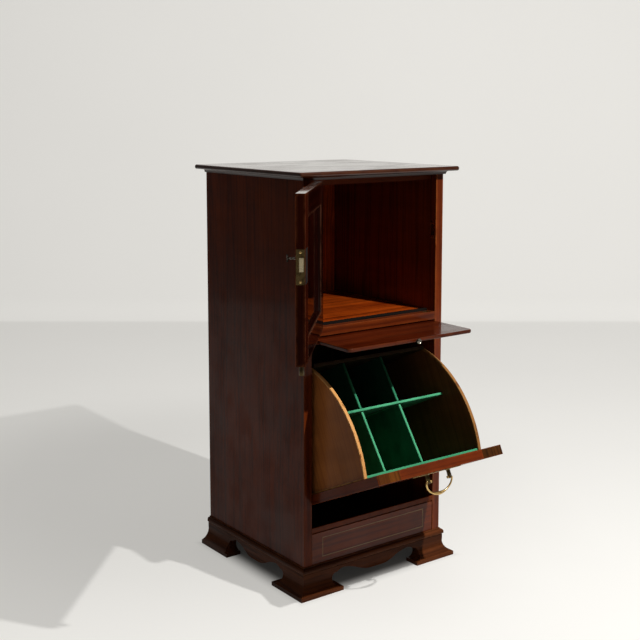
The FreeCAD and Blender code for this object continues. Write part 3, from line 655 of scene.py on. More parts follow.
    def patina(self) -> bpy.types.NodeTree:
        """Metal that has dulled in patches: a colour, a roughness and a fine scratched height.

        Returns:
            The group.
        """
        tree, graph, given, out = self.blank(
            "patina", [("Along", "Vector"), ("Bright", "Color"), ("Dull", "Color"), ("Age", "Float")],
            [("Color", "Color"), ("Roughness", "Float"), ("Height", "Float")])
        cloud = graph.noise(given.outputs["Along"], (70.0, 70.0, 70.0), 4.0, 0.6)
        spot = graph.noise(given.outputs["Along"], (420.0, 420.0, 420.0), 2.0)
        blend = graph.sums("ADD", graph.step(cloud, 0.35, 0.7), graph.step(spot, 0.55, 0.75, 0.0, 0.5))
        share = graph.sums("MULTIPLY", blend, given.outputs["Age"], True)
        scratch = graph.noise(given.outputs["Along"], (60.0, 2600.0, 900.0), 2.0)
        colour = graph.mix(share, given.outputs["Bright"], given.outputs["Dull"])
        rough = graph.sums("ADD", graph.step(share, 0.0, 1.0, 0.2, 0.5),
                           graph.sums("MULTIPLY", scratch, 0.12))
        graph.feed(out, {"Color": colour, "Roughness": rough, "Height": scratch})
        return tree

    def nap(self) -> bpy.types.NodeTree:
        """Woollen nap: short fibres in soft patches, paler where the cloth turns over an edge, partly as
        rubbed nap and partly as a painted highlight.

        Returns:
            The group.
        """
        tree, graph, given, out = self.blank(
            "nap", [("Along", "Vector"), ("Deep", "Color"), ("Face", "Color"), ("Rubbed", "Color")],
            [("Color", "Color"), ("Height", "Float")])
        fibre = graph.noise(given.outputs["Along"], (900.0, 1700.0, 1700.0), 3.0, 0.7)
        patch = graph.noise(given.outputs["Along"], (22.0, 30.0, 30.0), 3.0)
        edge = graph.add("ShaderNodeAttribute", attribute_name="edge").outputs["Fac"]
        body = graph.sums("ADD", graph.sums("MULTIPLY", fibre, 0.55), graph.sums("MULTIPLY", patch, 0.45))
        colour = graph.mix(graph.step(body, 0.36, 0.64), given.outputs["Deep"], given.outputs["Face"])
        # Painted highlight and wear along the edges.
        wear_and_glint = graph.sums("MULTIPLY", graph.sums("POWER", edge, 1.5), graph.step(patch, 0.2, 0.6, 0.5, 1.0))
        graph.feed(out, {"Color": graph.mix(wear_and_glint, colour, given.outputs["Rubbed"]), "Height": fibre})
        return tree


EFFECTS = Effects()


def blank_material(name: str) -> tuple[bpy.types.Material, Graph, bpy.types.Node]:
    """New material with an empty tree but for its Principled node and output.

    Args:
        name: the material's name.

    Returns:
        The material, a graph on its tree, and its Principled node.
    """
    material = bpy.data.materials.new(name)
    material.use_nodes = True
    tree = material.node_tree
    return material, Graph(tree), tree.nodes["Principled BSDF"]


def opaque(colour: Colour) -> tuple[float, float, float, float]:
    """Colour with a full alpha, as a socket takes it."""
    return colour + (1.0,)


def grain_vector(graph: Graph, along: Axis | None) -> object:
    """Coordinates with the grain first: a new board's own, or a CAD node's turned by a Mapping node.

    Args:
        graph: the material's graph.
        along: the axis that the grain follows in the frame, or None for a board's own attribute.

    Returns:
        The vector socket.
    """
    if along is None:
        return graph.add("ShaderNodeAttribute", attribute_name="grain").outputs["Vector"]
    turn = {Axis.X: (0.0, 0.0, 0.0), Axis.Y: (0.0, 0.0, -math.pi / 2), Axis.Z: (0.0, math.pi / 2, 0.0)}[along]
    place = graph.add("ShaderNodeTexCoord").outputs["Object"]
    return graph.add("ShaderNodeMapping", {"Vector": place, "Rotation": turn}).outputs["Vector"]


@dataclass(frozen=True)
class Finish:
    """What a piece is made of: the name of its material and its slot of the part."""
    name: str
    slot: str

    def material(self, along: Axis | None = None) -> bpy.types.Material:
        """The finish's material, made once for each way its grain is read.

        Args:
            along: axis of the grain on a CAD node, or None on a new board.

        Returns:
            The material.
        """
        label = self.name if along is None else f"{self.name}_{along.name.lower()}"
        if label in bpy.data.materials:
            return bpy.data.materials[label]
        material, graph, shader = blank_material(label)
        self.fill(graph, shader, grain_vector(graph, along))
        return material

    def fill(self, graph: Graph, shader: bpy.types.Node, vector: object) -> None:
        """Adds the nodes that feed the shader, which each kind of finish does in its own way."""
        raise NotImplementedError


@dataclass(frozen=True)
class WoodFinish(Finish):
    """Polished or bare wood."""
    dark: Colour
    mid: Colour
    light: Colour
    worn: Colour
    figure: float = 0.6
    pores: float = 0.5
    polish: float = 0.95
    polish_roughness: float = 0.08
    polish_index: float = 1.22
    roughness: Span = (0.35, 0.55)
    gloss: float = 0.06
    rubbing: Rubbing = Rubbing.SLIGHT
    dulled_share: float = 0.75
    grain_height: float = 0.35
    ripple_height: float = 1.6
    relief: float = 0.35
    relief_depth: float = 0.00025

    def fill(self, graph: Graph, shader: bpy.types.Node, vector: object) -> None:
        """Figure, worn arrises and relief of the wood, under polish that is dull where it was handled.

        Args:
            graph: the material's graph.
            shader: its Principled node.
            vector: coordinates with the grain first.
        """
        grain = graph.effect("wood_grain", {
            "Along": vector, "Dark": opaque(self.dark), "Mid": opaque(self.mid), "Light": opaque(self.light),
            "Figure": self.figure, "Pores": self.pores}).outputs
        wear_and_glint = graph.effect("rubbed_arris", {
            "Along": vector, "Color": grain["Color"], "Worn": opaque(self.worn),
            "Amount": self.rubbing.value}).outputs
        use = graph.effect("handling", {"Along": vector, "Streak": grain["Streak"]}).outputs
        height = graph.sums("ADD", graph.sums("MULTIPLY", grain["Height"], self.grain_height),
                            graph.sums("MULTIPLY", use["Ripple"], self.ripple_height))
        graph.feed(shader, {"Base Color": wear_and_glint["Color"],
                            "Roughness": graph.step(use["Dull"], 0.0, 1.0, *self.roughness),
                            "Coat Roughness": self.polish_roughness, "Coat IOR": self.polish_index,
                            "Specular IOR Level": self.gloss,
                            "Normal": graph.bump(height, self.relief, self.relief_depth)})
        if self.polish > 0:
            dulled = self.polish * self.dulled_share
            graph.feed(shader, {"Coat Weight": graph.step(use["Dull"], 0.0, 1.0, self.polish, dulled)})


@dataclass(frozen=True)
class MetalFinish(Finish):
    """Brass or steel with a patina."""
    bright: Colour
    dull: Colour
    age: float
    relief: float = 0.2
    relief_depth: float = 0.0001

    def fill(self, graph: Graph, shader: bpy.types.Node, vector: object) -> None:
        """Colour, roughness and scratches of the metal.

        Args:
            graph: the material's graph.
            shader: its Principled node.
            vector: coordinates with the grain first.
        """
        metal = graph.effect("patina", {"Along": vector, "Bright": opaque(self.bright),
                                        "Dull": opaque(self.dull), "Age": self.age}).outputs
        graph.feed(shader, {"Metallic": 1.0, "Base Color": metal["Color"], "Roughness": metal["Roughness"],
                            "Normal": graph.bump(metal["Height"], self.relief, self.relief_depth)})


@dataclass(frozen=True)
class BaizeFinish(Finish):
    """Green woollen cloth glued over thin boards."""
    name: str = "green_baize"
    slot: str = "baize"
    deep: Colour = (0.006, 0.105, 0.046)
    face: Colour = (0.018, 0.215, 0.098)
    # Pale colour of the edges: rubbed nap and a painted highlight.
    rubbed: Colour = (0.085, 0.42, 0.21)
    roughness: Span = (0.85, 1.0)
    sheen: float = 0.25
    sheen_roughness: float = 0.4
    sheen_tint: Colour = (0.35, 0.8, 0.5)
    gloss: float = 0.15
    relief: float = 0.6
    relief_depth: float = 0.0004

    def fill(self, graph: Graph, shader: bpy.types.Node, vector: object) -> None:
        """Colour, sheen and nap of the cloth.

        Args:
            graph: the material's graph.
            shader: its Principled node.
            vector: coordinates with the grain first.
        """
        cloth = graph.effect("nap", {"Along": vector, "Deep": opaque(self.deep),
                                     "Face": opaque(self.face), "Rubbed": opaque(self.rubbed)}).outputs
        graph.feed(shader, {"Base Color": cloth["Color"],
                            "Roughness": graph.step(cloth["Height"], 0.2, 0.8, *self.roughness),
                            "Sheen Weight": self.sheen, "Sheen Roughness": self.sheen_roughness,
                            "Sheen Tint": opaque(self.sheen_tint), "Specular IOR Level": self.gloss,
                            "Normal": graph.bump(cloth["Height"], self.relief, self.relief_depth)})


MAHOGANY = WoodFinish("polished_mahogany", "mahogany", (0.036, 0.0048, 0.0009), (0.108, 0.0145, 0.0018),
                      (0.170, 0.030, 0.0042), (0.26, 0.065, 0.012), figure=0.5)
# Lighter than the polished mahogany: painted light on the right side, whose front faces the lamp; the rubbing
# of its arrises is wear.
WORN_AND_LIT_MAHOGANY = replace(MAHOGANY, name="worn_and_lit_mahogany", mid=(0.130, 0.019, 0.0026),
                        light=(0.205, 0.038, 0.0058), rubbing=Rubbing.PLAIN)
# Lighter than the polished mahogany: painted light on the frieze, which lies in the fall's shadow.
LIGHTENED_FRIEZE_MAHOGANY = replace(MAHOGANY, name="lightened_frieze_mahogany", dark=(0.055, 0.0075, 0.0014),
                          mid=(0.157, 0.0235, 0.0038), light=(0.250, 0.047, 0.0075), polish=0.85,
                          polish_index=1.28)
DULL_MAHOGANY = replace(MAHOGANY, name="dull_mahogany", mid=(0.098, 0.0135, 0.0018), polish=0.4)
SIDE_MAHOGANY = replace(MAHOGANY, name="side_mahogany", dark=(0.022, 0.0032, 0.0008),
                        mid=(0.100, 0.0145, 0.0019), light=(0.160, 0.027, 0.0038), polish=0.34)
SLIDE_MAHOGANY = WoodFinish("slide_mahogany", "mahogany", (0.018, 0.0020, 0.0003), (0.052, 0.0055, 0.0005),
                            (0.090, 0.012, 0.0012), (0.14, 0.035, 0.007), figure=0.5)
TOP_MAHOGANY = WoodFinish("top_mahogany", "mahogany", (0.014, 0.0028, 0.0009), (0.034, 0.0068, 0.0018),
                          (0.060, 0.014, 0.0034), (0.10, 0.032, 0.010), figure=0.5, polish=1.0,
                          polish_roughness=0.05, polish_index=1.45)
COVE_MAHOGANY = replace(TOP_MAHOGANY, name="cove_mahogany", polish_roughness=0.12, polish_index=1.38)
LIT_MAHOGANY = WoodFinish("orange_mahogany", "mahogany", (0.025, 0.0022, 0.0003), (0.19, 0.019, 0.0010),
                          (0.48, 0.072, 0.0050), (0.42, 0.10, 0.015), figure=1.0, pores=0.9)
# Much lighter copy of the orange mahogany: painted light on the cupboard's back.
LIT_BACK_MAHOGANY = replace(LIT_MAHOGANY, name="lit_back_mahogany", dark=(0.12, 0.016, 0.0016),
                        mid=(0.40, 0.062, 0.0050), light=(0.58, 0.115, 0.010))
BASE_MAHOGANY = replace(MAHOGANY, name="base_mahogany", dark=(0.020, 0.0055, 0.0018),
                        mid=(0.078, 0.0205, 0.0062), light=(0.148, 0.043, 0.0130), worn=(0.24, 0.085, 0.030),
                        polish=0.22, gloss=0.03, rubbing=Rubbing.PLAIN)
# Near-black copies of the mahogany: painted shade on the door's edge and inside; their pale worn colour draws
# painted highlights along the arrises.
SHADED_MAHOGANY = WoodFinish("shaded_mahogany", "mahogany", (0.008, 0.0012, 0.0005), (0.018, 0.0025, 0.0010),
                           (0.032, 0.005, 0.0016), (0.11, 0.03, 0.011), figure=0.45, polish=0.12, gloss=0.0,
                           rubbing=Rubbing.PLAIN)
SHADED_DOOR = replace(SHADED_MAHOGANY, name="shaded_door_mahogany", dark=(0.003, 0.0006, 0.0004),
                      mid=(0.007, 0.0010, 0.0006), light=(0.014, 0.0020, 0.0008), worn=(0.12, 0.045, 0.024),
                      polish=0.7, polish_roughness=0.04, roughness=(0.6, 0.8))
# Light inner wood; its pale worn colour on the quadrant rims is partly a painted highlight, and the copy
# below is painted shade on the right quadrant.
INNER_MAHOGANY = WoodFinish("inner_mahogany", "mahogany_inner", (0.24, 0.076, 0.019), (0.35, 0.112, 0.027),
                            (0.42, 0.148, 0.037), (0.68, 0.33, 0.105), figure=0.35, polish=0.3,
                            polish_roughness=0.2, rubbing=Rubbing.HEAVY)
SHADED_INNER = replace(INNER_MAHOGANY, name="shaded_inner_mahogany", dark=(0.11, 0.038, 0.012),
                       mid=(0.17, 0.055, 0.018), light=(0.22, 0.078, 0.025), worn=(0.30, 0.135, 0.040))
# Much darker copy of the inner wood: painted shade on the bin's back under the slide.
SHADED_INNER_BACK = WoodFinish("shaded_back_mahogany", "mahogany_inner", (0.010, 0.005, 0.002), (0.030, 0.016, 0.007),
                        (0.05, 0.028, 0.012), (0.10, 0.055, 0.024), figure=0.5, polish=0.3)
END_GRAIN = WoodFinish("end_grain", "mahogany", (0.02, 0.005, 0.001), (0.045, 0.010, 0.0016),
                       (0.13, 0.039, 0.0055), (0.13, 0.039, 0.0055), figure=0.9, polish=0.3)
DARK_END = replace(END_GRAIN, name="dark_end_grain", dark=(0.012, 0.004, 0.001), mid=(0.032, 0.0095, 0.002),
                   light=(0.092, 0.031, 0.0065))
BARE_WOOD = WoodFinish("bare_softwood", "secondary_wood", (0.10, 0.050, 0.022), (0.21, 0.115, 0.055),
                       (0.30, 0.18, 0.09), (0.30, 0.19, 0.10), figure=0.8, pores=0.2, polish=0.0,
                       roughness=(0.6, 0.85))
# Darker copy of the bare softwood: painted shade on the bottom board in the opening under the bin.
SHADED_SOFTWOOD = replace(BARE_WOOD, name="shaded_softwood", dark=(0.012, 0.006, 0.003),
                       mid=(0.030, 0.015, 0.007), light=(0.05, 0.028, 0.013), worn=(0.07, 0.04, 0.02))
# Black finish of the ebonised stop strip, also used as painted shade on the floors of the bolts' pockets.
EBONISED_AND_POCKET_SHADE = WoodFinish("ebonised_wood", "ebonised_wood", (0.003, 0.0025, 0.002), (0.006, 0.005, 0.0045),
                      (0.014, 0.011, 0.009), (0.05, 0.025, 0.016), polish=0.3, polish_roughness=0.2)
BOXWOOD = WoodFinish("boxwood_string", "boxwood", (0.20, 0.110, 0.045), (0.33, 0.195, 0.082),
                     (0.42, 0.26, 0.12), (0.42, 0.26, 0.12), polish=0.85, polish_index=1.28)
DULL_BRASS = MetalFinish("dull_brass", "brass", (0.17, 0.115, 0.045), (0.024, 0.016, 0.008), 0.95)
DARK_BRASS = MetalFinish("dark_brass", "brass", (0.12, 0.08, 0.035), (0.020, 0.014, 0.008), 0.95)
BRIGHT_BRASS = MetalFinish("bright_brass", "brass", (0.86, 0.74, 0.48), (0.55, 0.40, 0.20), 0.5)
BRASS = MetalFinish("old_brass", "brass", (0.70, 0.47, 0.18), (0.20, 0.115, 0.042), 0.75)
GREY_PLATE = MetalFinish("grey_plate", "brass", (0.24, 0.215, 0.18), (0.06, 0.052, 0.042), 0.85)
STEEL = MetalFinish("dark_steel", "steel", (0.14, 0.12, 0.10), (0.020, 0.016, 0.012), 0.9)
JAPANNED = replace(EBONISED_AND_POCKET_SHADE, name="japanned_iron", slot="steel", polish=0.0, roughness=(0.55, 0.75))
BAIZE = BaizeFinish()
LINING_BAIZE = BaizeFinish("lining_baize", rubbed=(0.055, 0.31, 0.15))
# Much darker cloth: painted shade on the rear lengths of the long dividers, under the slide.
SHADED_BAIZE = BaizeFinish("shaded_baize", deep=(0.0012, 0.016, 0.007), face=(0.003, 0.040, 0.018),
                         rubbed=(0.045, 0.30, 0.15))


@dataclass(frozen=True)
class ScrewHead:
    """Slotted screw head sunk almost flush, with its sizes as shares of its radius."""
    rings: int = 9
    spokes: int = 40
    eye: float = 0.06
    dome: float = 0.14
    proud: float = 0.04
    slot_lean: float = 0.35
    slot_half: float = 0.16
    slot_depth: float = 0.16
    rim: float = 0.97
    skirt: float = 0.5
    worn: float = 0.3

    def surface(self, spot: Sequence[float], along: Sequence[float], radius: float) -> Surface:
        """Grid of rings and spokes whose height is a low dome less a groove across its middle.

        Args:
            spot: middle of the head.
            along: unit direction that it faces.
            radius: its radius.

        Returns:
            The closed surface.
        """
        axis = np.array(along, float)
        first = np.array((0.0, 0.0, 1.0))
        second = np.cross(axis, first)
        turn = np.arange(self.spokes) * 2 * math.pi / self.spokes
        ring, angle = np.meshgrid(np.linspace(1.0, self.eye, self.rings), turn, indexing="ij")
        across, down = ring * np.cos(angle), ring * np.sin(angle)
        groove = np.clip(1 - (np.abs(across + self.slot_lean * down) / self.slot_half) ** 4, 0, 1)
        rise = self.dome * (1 - ring ** 2) - self.slot_depth * groove * (ring < self.rim) + self.proud
        top = (across[..., None] * first + down[..., None] * second + rise[..., None] * axis) * radius
        low = top[:1] - self.skirt * radius * axis
        return swept(np.concatenate([low, top]) + np.array(spot), self.worn)


@dataclass
class Workshop:
    """Turns surfaces into pieces of the part, and dresses the CAD nodes that stay."""
    set_out: SetOut
    crease: float = 38.0
    figure_step: float = 0.037

    def piece(self, name: str, body: Body, surface: Surface, finish: Finish, along: Axis = Axis.Z,
              nodes: Sequence[str] = ()) -> None:
        """Mesh object of a surface, riding on its body and standing for its CAD nodes.

        The grain attribute is the closed place with the grain's axis first, in metres, moved by an offset of
        the piece's own so that no two boards share a figure. Where normals aren't exact, an edge is sharp
        from the crease angle on.

        Args:
            name: the piece's name.
            body: the group that carries it.
            surface: its shape in closed millimetres.
            finish: what it is made of.
            along: direction of its grain.
            nodes: CAD nodes that it replaces.
        """
        mesh = bpy.data.meshes.new(name)
        mesh.from_pydata(self.set_out.placed(surface.points, body).tolist(), [], surface.faces)
        mesh.polygons.foreach_set("use_smooth", np.ones(len(mesh.polygons), bool))
        seed = zlib.crc32(name.encode())
        offset = np.array([seed & 255, seed >> 8 & 255, seed >> 16 & 255]) * self.figure_step
        order = [along.value, (along.value + 1) % 3, (along.value + 2) % 3]
        grain = surface.points[:, order] * MM + offset
        mesh.attributes.new("grain", "FLOAT_VECTOR", "POINT").data.foreach_set("vector", grain.ravel())
        mesh.attributes.new("edge", "FLOAT", "POINT").data.foreach_set("value", surface.edge)
        if surface.normals is None:
            mesh.set_sharp_from_angle(angle=math.radians(self.crease))
        else:
            normals = self.set_out.normals(surface.normals, body)
            mesh.normals_split_custom_set_from_vertices(normals.tolist())
        thing = bpy.data.objects.new(name, mesh)
        bpy.context.scene.collection.objects.link(thing)
        mesh.materials.append(finish.material())
        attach(thing, body.value)
        if nodes:
            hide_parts(*nodes)
        LOG.info("%s on %s: %d faces", name, body.value, len(mesh.polygons))

    def board(self, node: str, body: Body, x: Span, y: Span, z: Span, ease: float, along: Axis,
              finish: Finish = MAHOGANY, fade: float = 7.0) -> None:
        """Eased board in place of one CAD node."""
        self.piece(node + ".board", body, eased_board(x, y, z, ease, fade), finish, along, (node,))

    def dress(self, finish: Finish, along: Axis, *nodes: str) -> None:
        """Gives CAD nodes that keep their shape a finish whose grain follows one axis of the frame.

        Args:
            finish: what the nodes are made of.
            along: axis that the grain follows.
            nodes: names of the CAD nodes.
        """
        for node in nodes:
            thing = frame["nodes"][node]
            thing.data.materials.clear()
            thing.data.materials.append(finish.material(along))
            LOG.info("%s dressed in %s", node, finish.name)

    def screws(self, name: str, body: Body, spots: Sequence[Sequence[float]], along: Sequence[float],
               radius: float = 2.4) -> None:
        """Row of screw heads that face one way."""
        heads = [ScrewHead().surface(spot, along, radius) for spot in spots]
        self.piece(name, body, heads[0].joined(*heads[1:]), BRASS)


@dataclass
class Carcass:
    """Sides, back, top, mouldings, rails, floor and base of the cabinet."""
    half_width: float = 205.0
    half_inner: float = 183.0
    back_half: float = 194.0
    depth: float = 408.0
    back_face: float = 398.0
    foot: float = 51.0
    top_bottom: float = 948.7
    top_height: float = 959.7
    top_overhang: float = 27.5
    top_back: float = 10.0
    top_ease: float = 4.6
    top_fade: float = 10.0
    side_ease: float = 1.3
    back_proud: float = 0.15
    back_ease: float = 0.6
    veneer: float = 0.4
    veneer_ease: float = 0.1
    veneer_fade: float = 1.0
    skin: float = 0.05
    rail_depth: float = 20.0
    rail_bottom: float = 592.2
    rail_ease: float = 0.8
    floor_top: float = 611.7
    floor_thickness: float = 18.0
    floor_ease: float = 0.4
    housing: float = 6.0
    frieze: tuple[Span, Span, Span] = ((-182.2, 182.2), (1.05, 17.0), (51.0, 139.2))
    frieze_ease: float = 0.9
    lower_rail: tuple[Span, ...] = ((0.0, 141.5), (14.0, 141.5), (14.0, 145.4), (0.0, 155.0))
    lower_rail_radii: tuple[float, ...] = (1.0, 0.5, 0.5, 1.4)
    lower_rail_ease: float = 0.3
    cove_bottom: float = 940.7
    cove_out: Span = (4.0, 15.0)
    cove_bow: float = 2.52
    cove_steps: int = 9
    base_top: float = 67.0
    base_reach: float = 8.5
    base_lip: float = 2.0
    base_square: float = 6.0
    base_fillet: float = 2.8
    base_nib: Span = (0.5, 0.7)
    ovolo_steps: int = 8
    quirk: float = 2.1
    groove: Span = (0.9, 0.7)
    arris: float = 0.4
    keeper: tuple[float, float, float] = (165.2, 9.5, 5.4)
    keeper_depth: float = 19.2
    strike: tuple[Span, Span] = ((7.4, 16.6), (793.6, 820.8))
    strike_depth: float = 8.45
    strike_screws: Span = (789.8, 824.6)
    screw_radius: float = 2.0
    socket_eye: float = 0.2
    socket_leaf: float = 0.02
    socket_board: float = 0.12
    socket_ease: float = 0.01
    socket_fade: float = 0.5

    def build(self, shop: Workshop) -> None:
        """Makes the boards, the mouldings and the floors of the bolts' pockets.

        Args:
            shop: the workshop that makes the pieces.
        """
        inner = self.half_inner + self.skin
        between = (-self.half_inner, self.half_inner)
        side_y, side_z = (0, self.depth), (self.foot, self.top_bottom)
        shop.board("side_left", Body.CARCASS, (-self.half_width, -inner), side_y, side_z, self.side_ease,
                   Axis.Z, SIDE_MAHOGANY)
        # The right side is the lighter copy of the mahogany, as painted light.
        right = pocketed_board((inner, self.half_width), side_y, side_z, self.side_ease,
                               ((inner, inner), *self.strike), (self.strike_depth, 0, 0))
        shop.piece("side_right.board", Body.CARCASS, right, WORN_AND_LIT_MAHOGANY, Axis.Z, ("side_right",))
        shop.board("back_panel", Body.CARCASS, (-self.back_half, self.back_half),
                   (self.back_face, self.depth + self.back_proud), side_z, self.back_ease, Axis.Z, BARE_WOOD)
        wide = self.half_width + self.top_overhang
        shop.board("top_board", Body.CARCASS, (-wide, wide), (-self.top_overhang, self.depth + self.top_back),
                   (self.top_bottom, self.top_height), self.top_ease, Axis.X, TOP_MAHOGANY, self.top_fade)
        x, y, radius = self.keeper
        level = self.floor_top - self.skin
        mouth = ((x - radius, x + radius), (y - radius, y + radius), (level, level))
        rail = pocketed_board(between, (0, self.rail_depth), (self.rail_bottom, level), self.rail_ease,
                              mouth, (0, 0, -self.keeper_depth))
        shop.piece("front_rail.board", Body.CARCASS, rail, MAHOGANY, Axis.X, ("front_rail",))
        reach = self.half_inner + self.housing
        shop.board("cupboard_floor", Body.CARCASS, (-reach, reach), (self.rail_depth, self.back_face),
                   (self.floor_top - self.floor_thickness, self.floor_top), self.floor_ease, Axis.X,
                   LIT_MAHOGANY)
        # Thin sheet over the back panel that carries painted light on the cupboard's back.
        veneer = eased_board(between, (self.back_face - self.veneer, self.back_face),
                             (self.floor_top, self.top_bottom), self.veneer_ease, self.veneer_fade)
        shop.piece("back_veneer", Body.CARCASS, veneer, LIT_BACK_MAHOGANY, Axis.Z)
        # The frieze is a lighter copy of the mahogany, as painted light.
        shop.board("frieze_panel", Body.CARCASS, *self.frieze, self.frieze_ease, Axis.X, LIGHTENED_FRIEZE_MAHOGANY)
        lower = eased_plate(rounded_outline(self.lower_rail, self.lower_rail_radii), between,
                            self.lower_rail_ease, Axis.X)
        shop.piece("lower_rail.board", Body.CARCASS, lower, DULL_MAHOGANY, Axis.X, ("lower_rail",))
        self.moulding(shop, "top_moulding", self.cove_section(), COVE_MAHOGANY)
        self.moulding(shop, "base_moulding", self.ovolo_section(), BASE_MAHOGANY)
        self.sockets(shop)

    def cove_section(self) -> np.ndarray:
        """Section of the cove: a slope hollowed by a sine.

        Returns:
            (n, 3) points of outward, up and arris mask.
        """
        near, far = self.cove_out
        low, high = self.cove_bottom, self.top_bottom
        turn = np.linspace(0, 1, self.cove_steps)
        dip = self.cove_bow * np.sin(math.pi * turn)
        arc = np.stack([near + (far - near) * turn - dip, low + (high - low) * turn + dip], axis=1)
        arc = np.clip(arc, (near, low), (far, high))
        line = np.concatenate([[(0.0, low)], arc, [(0.0, high)]])
        return np.column_stack([line, np.zeros(len(line))])

    def ovolo_section(self) -> np.ndarray:
        """Section of the base moulding: a quirk, a quarter of an ellipse, a fillet and a groove behind it.

        Returns:
            (n, 3) points of outward, up and arris mask.
        """
        foot, top, reach, lip, quirk = self.foot, self.base_top, self.base_reach, self.base_lip, self.quirk
        square, crown, near = foot + self.base_square, top - self.base_fillet, lip + quirk
        nib_out, nib_up = self.base_nib
        turn = np.linspace(0, math.pi / 2, self.ovolo_steps)
        across, up = near + (reach - near) * np.cos(turn), square + (crown - square) * np.sin(turn)
        below = [(0.0, foot, 0), (reach - 2 * quirk, foot, 0), (reach - 2 * quirk, foot + quirk, 0),
                 (reach - nib_out, foot + quirk, 1), (reach, foot + quirk + nib_up, 1)]
        above = [(lip, crown, 0), (lip, top - self.arris, 1), (lip - self.arris, top, 1),
                 (self.groove[0], top, 0), (self.groove[1], top - quirk, 0), (0.0, top - quirk, 0)]
        return np.concatenate([below, np.column_stack([across, up, np.zeros(len(turn))]), above])

    def moulding(self, shop: Workshop, node: str, section: np.ndarray, wood: WoodFinish) -> None:
        """Moulding in three lengths, mitred at the front corners.

        A length is the section carried from one mitre to the next: the outward reach moves the end of each
        line along the carcass as well as away from it.

        Args:
            shop: the workshop.
            node: the CAD node that it replaces.
            section: (n, 3) points of outward, up and arris mask.
            wood: its finish.
        """
        out, up, wear = section.T
        corners = [np.stack([s * (self.half_width + out), -out, up], axis=1) for s in (-1, 1)]
        ends = [np.stack([s * (self.half_width + out), np.full_like(out, self.depth), up], axis=1)
                for s in (-1, 1)]
        front, left, right = (swept(np.array(rings), wear) for rings in (corners, *zip(corners, ends)))
        shop.piece(node + ".front", Body.CARCASS, front, wood, Axis.X, (node,))
        shop.piece(node + ".sides", Body.CARCASS, left.joined(right), wood, Axis.Y)

    def sockets(self, shop: Workshop) -> None:
        """Dark floors of the two bolts' pockets, which paint shade at the bottom of each hole, and the screws
        of the strike plate.

        Args:
            shop: the workshop that makes the pieces.
        """
        x, y, radius = self.keeper
        eye, leaf = radius * self.socket_eye, self.socket_leaf
        disc = turned_piece([(eye, 0), (radius, 0), (radius, leaf), (eye, leaf)],
                            (x, y, self.floor_top - self.keeper_depth), (0, 0, 1))
        shop.piece("keeper_socket", Body.CARCASS, disc, EBONISED_AND_POCKET_SHADE)
        face = self.half_inner + self.strike_depth
        floor = eased_board((face - self.socket_board, face), *self.strike, self.socket_ease,
                            self.socket_fade)
        shop.piece("strike_socket", Body.CARCASS, floor, EBONISED_AND_POCKET_SHADE)
        middle = sum(self.strike[0]) / 2
        shop.screws("strike_screws", Body.CARCASS,
                    [(self.half_inner, middle, level) for level in self.strike_screws], (-1, 0, 0),
                    self.screw_radius)

    def dress(self, shop: Workshop) -> None:
        """Finishes the CAD nodes of the carcass that keep their shape.

        Args:
            shop: the workshop that makes the pieces.
        """
        shop.dress(DULL_MAHOGANY, Axis.X, "top_rail", "slide_rail")
        shop.dress(BASE_MAHOGANY, Axis.X, "bracket_base_front")
        shop.dress(BASE_MAHOGANY, Axis.Y, "bracket_base_left", "bracket_base_right")
        shop.dress(BARE_WOOD, Axis.X, "rear_feet", "dust_board", "bin_stop_batten")
        # The bottom board takes the darker softwood as painted shade.
        shop.dress(SHADED_SOFTWOOD, Axis.X, "bottom_board")
        shop.dress(BARE_WOOD, Axis.Y, "slide_runners")
        shop.dress(BARE_WOOD, Axis.Z, "glue_blocks")
        shop.dress(BOXWOOD, Axis.X, "frieze_string")
        shop.dress(EBONISED_AND_POCKET_SHADE, Axis.X, "door_stop_strip")
        shop.dress(BRASS, Axis.Z, "bin_pivot_pins", "bin_pivot_washers", "strike_plate", "bolt_keeper",
                   "hinge_leaves_fixed", "hinge_pins")


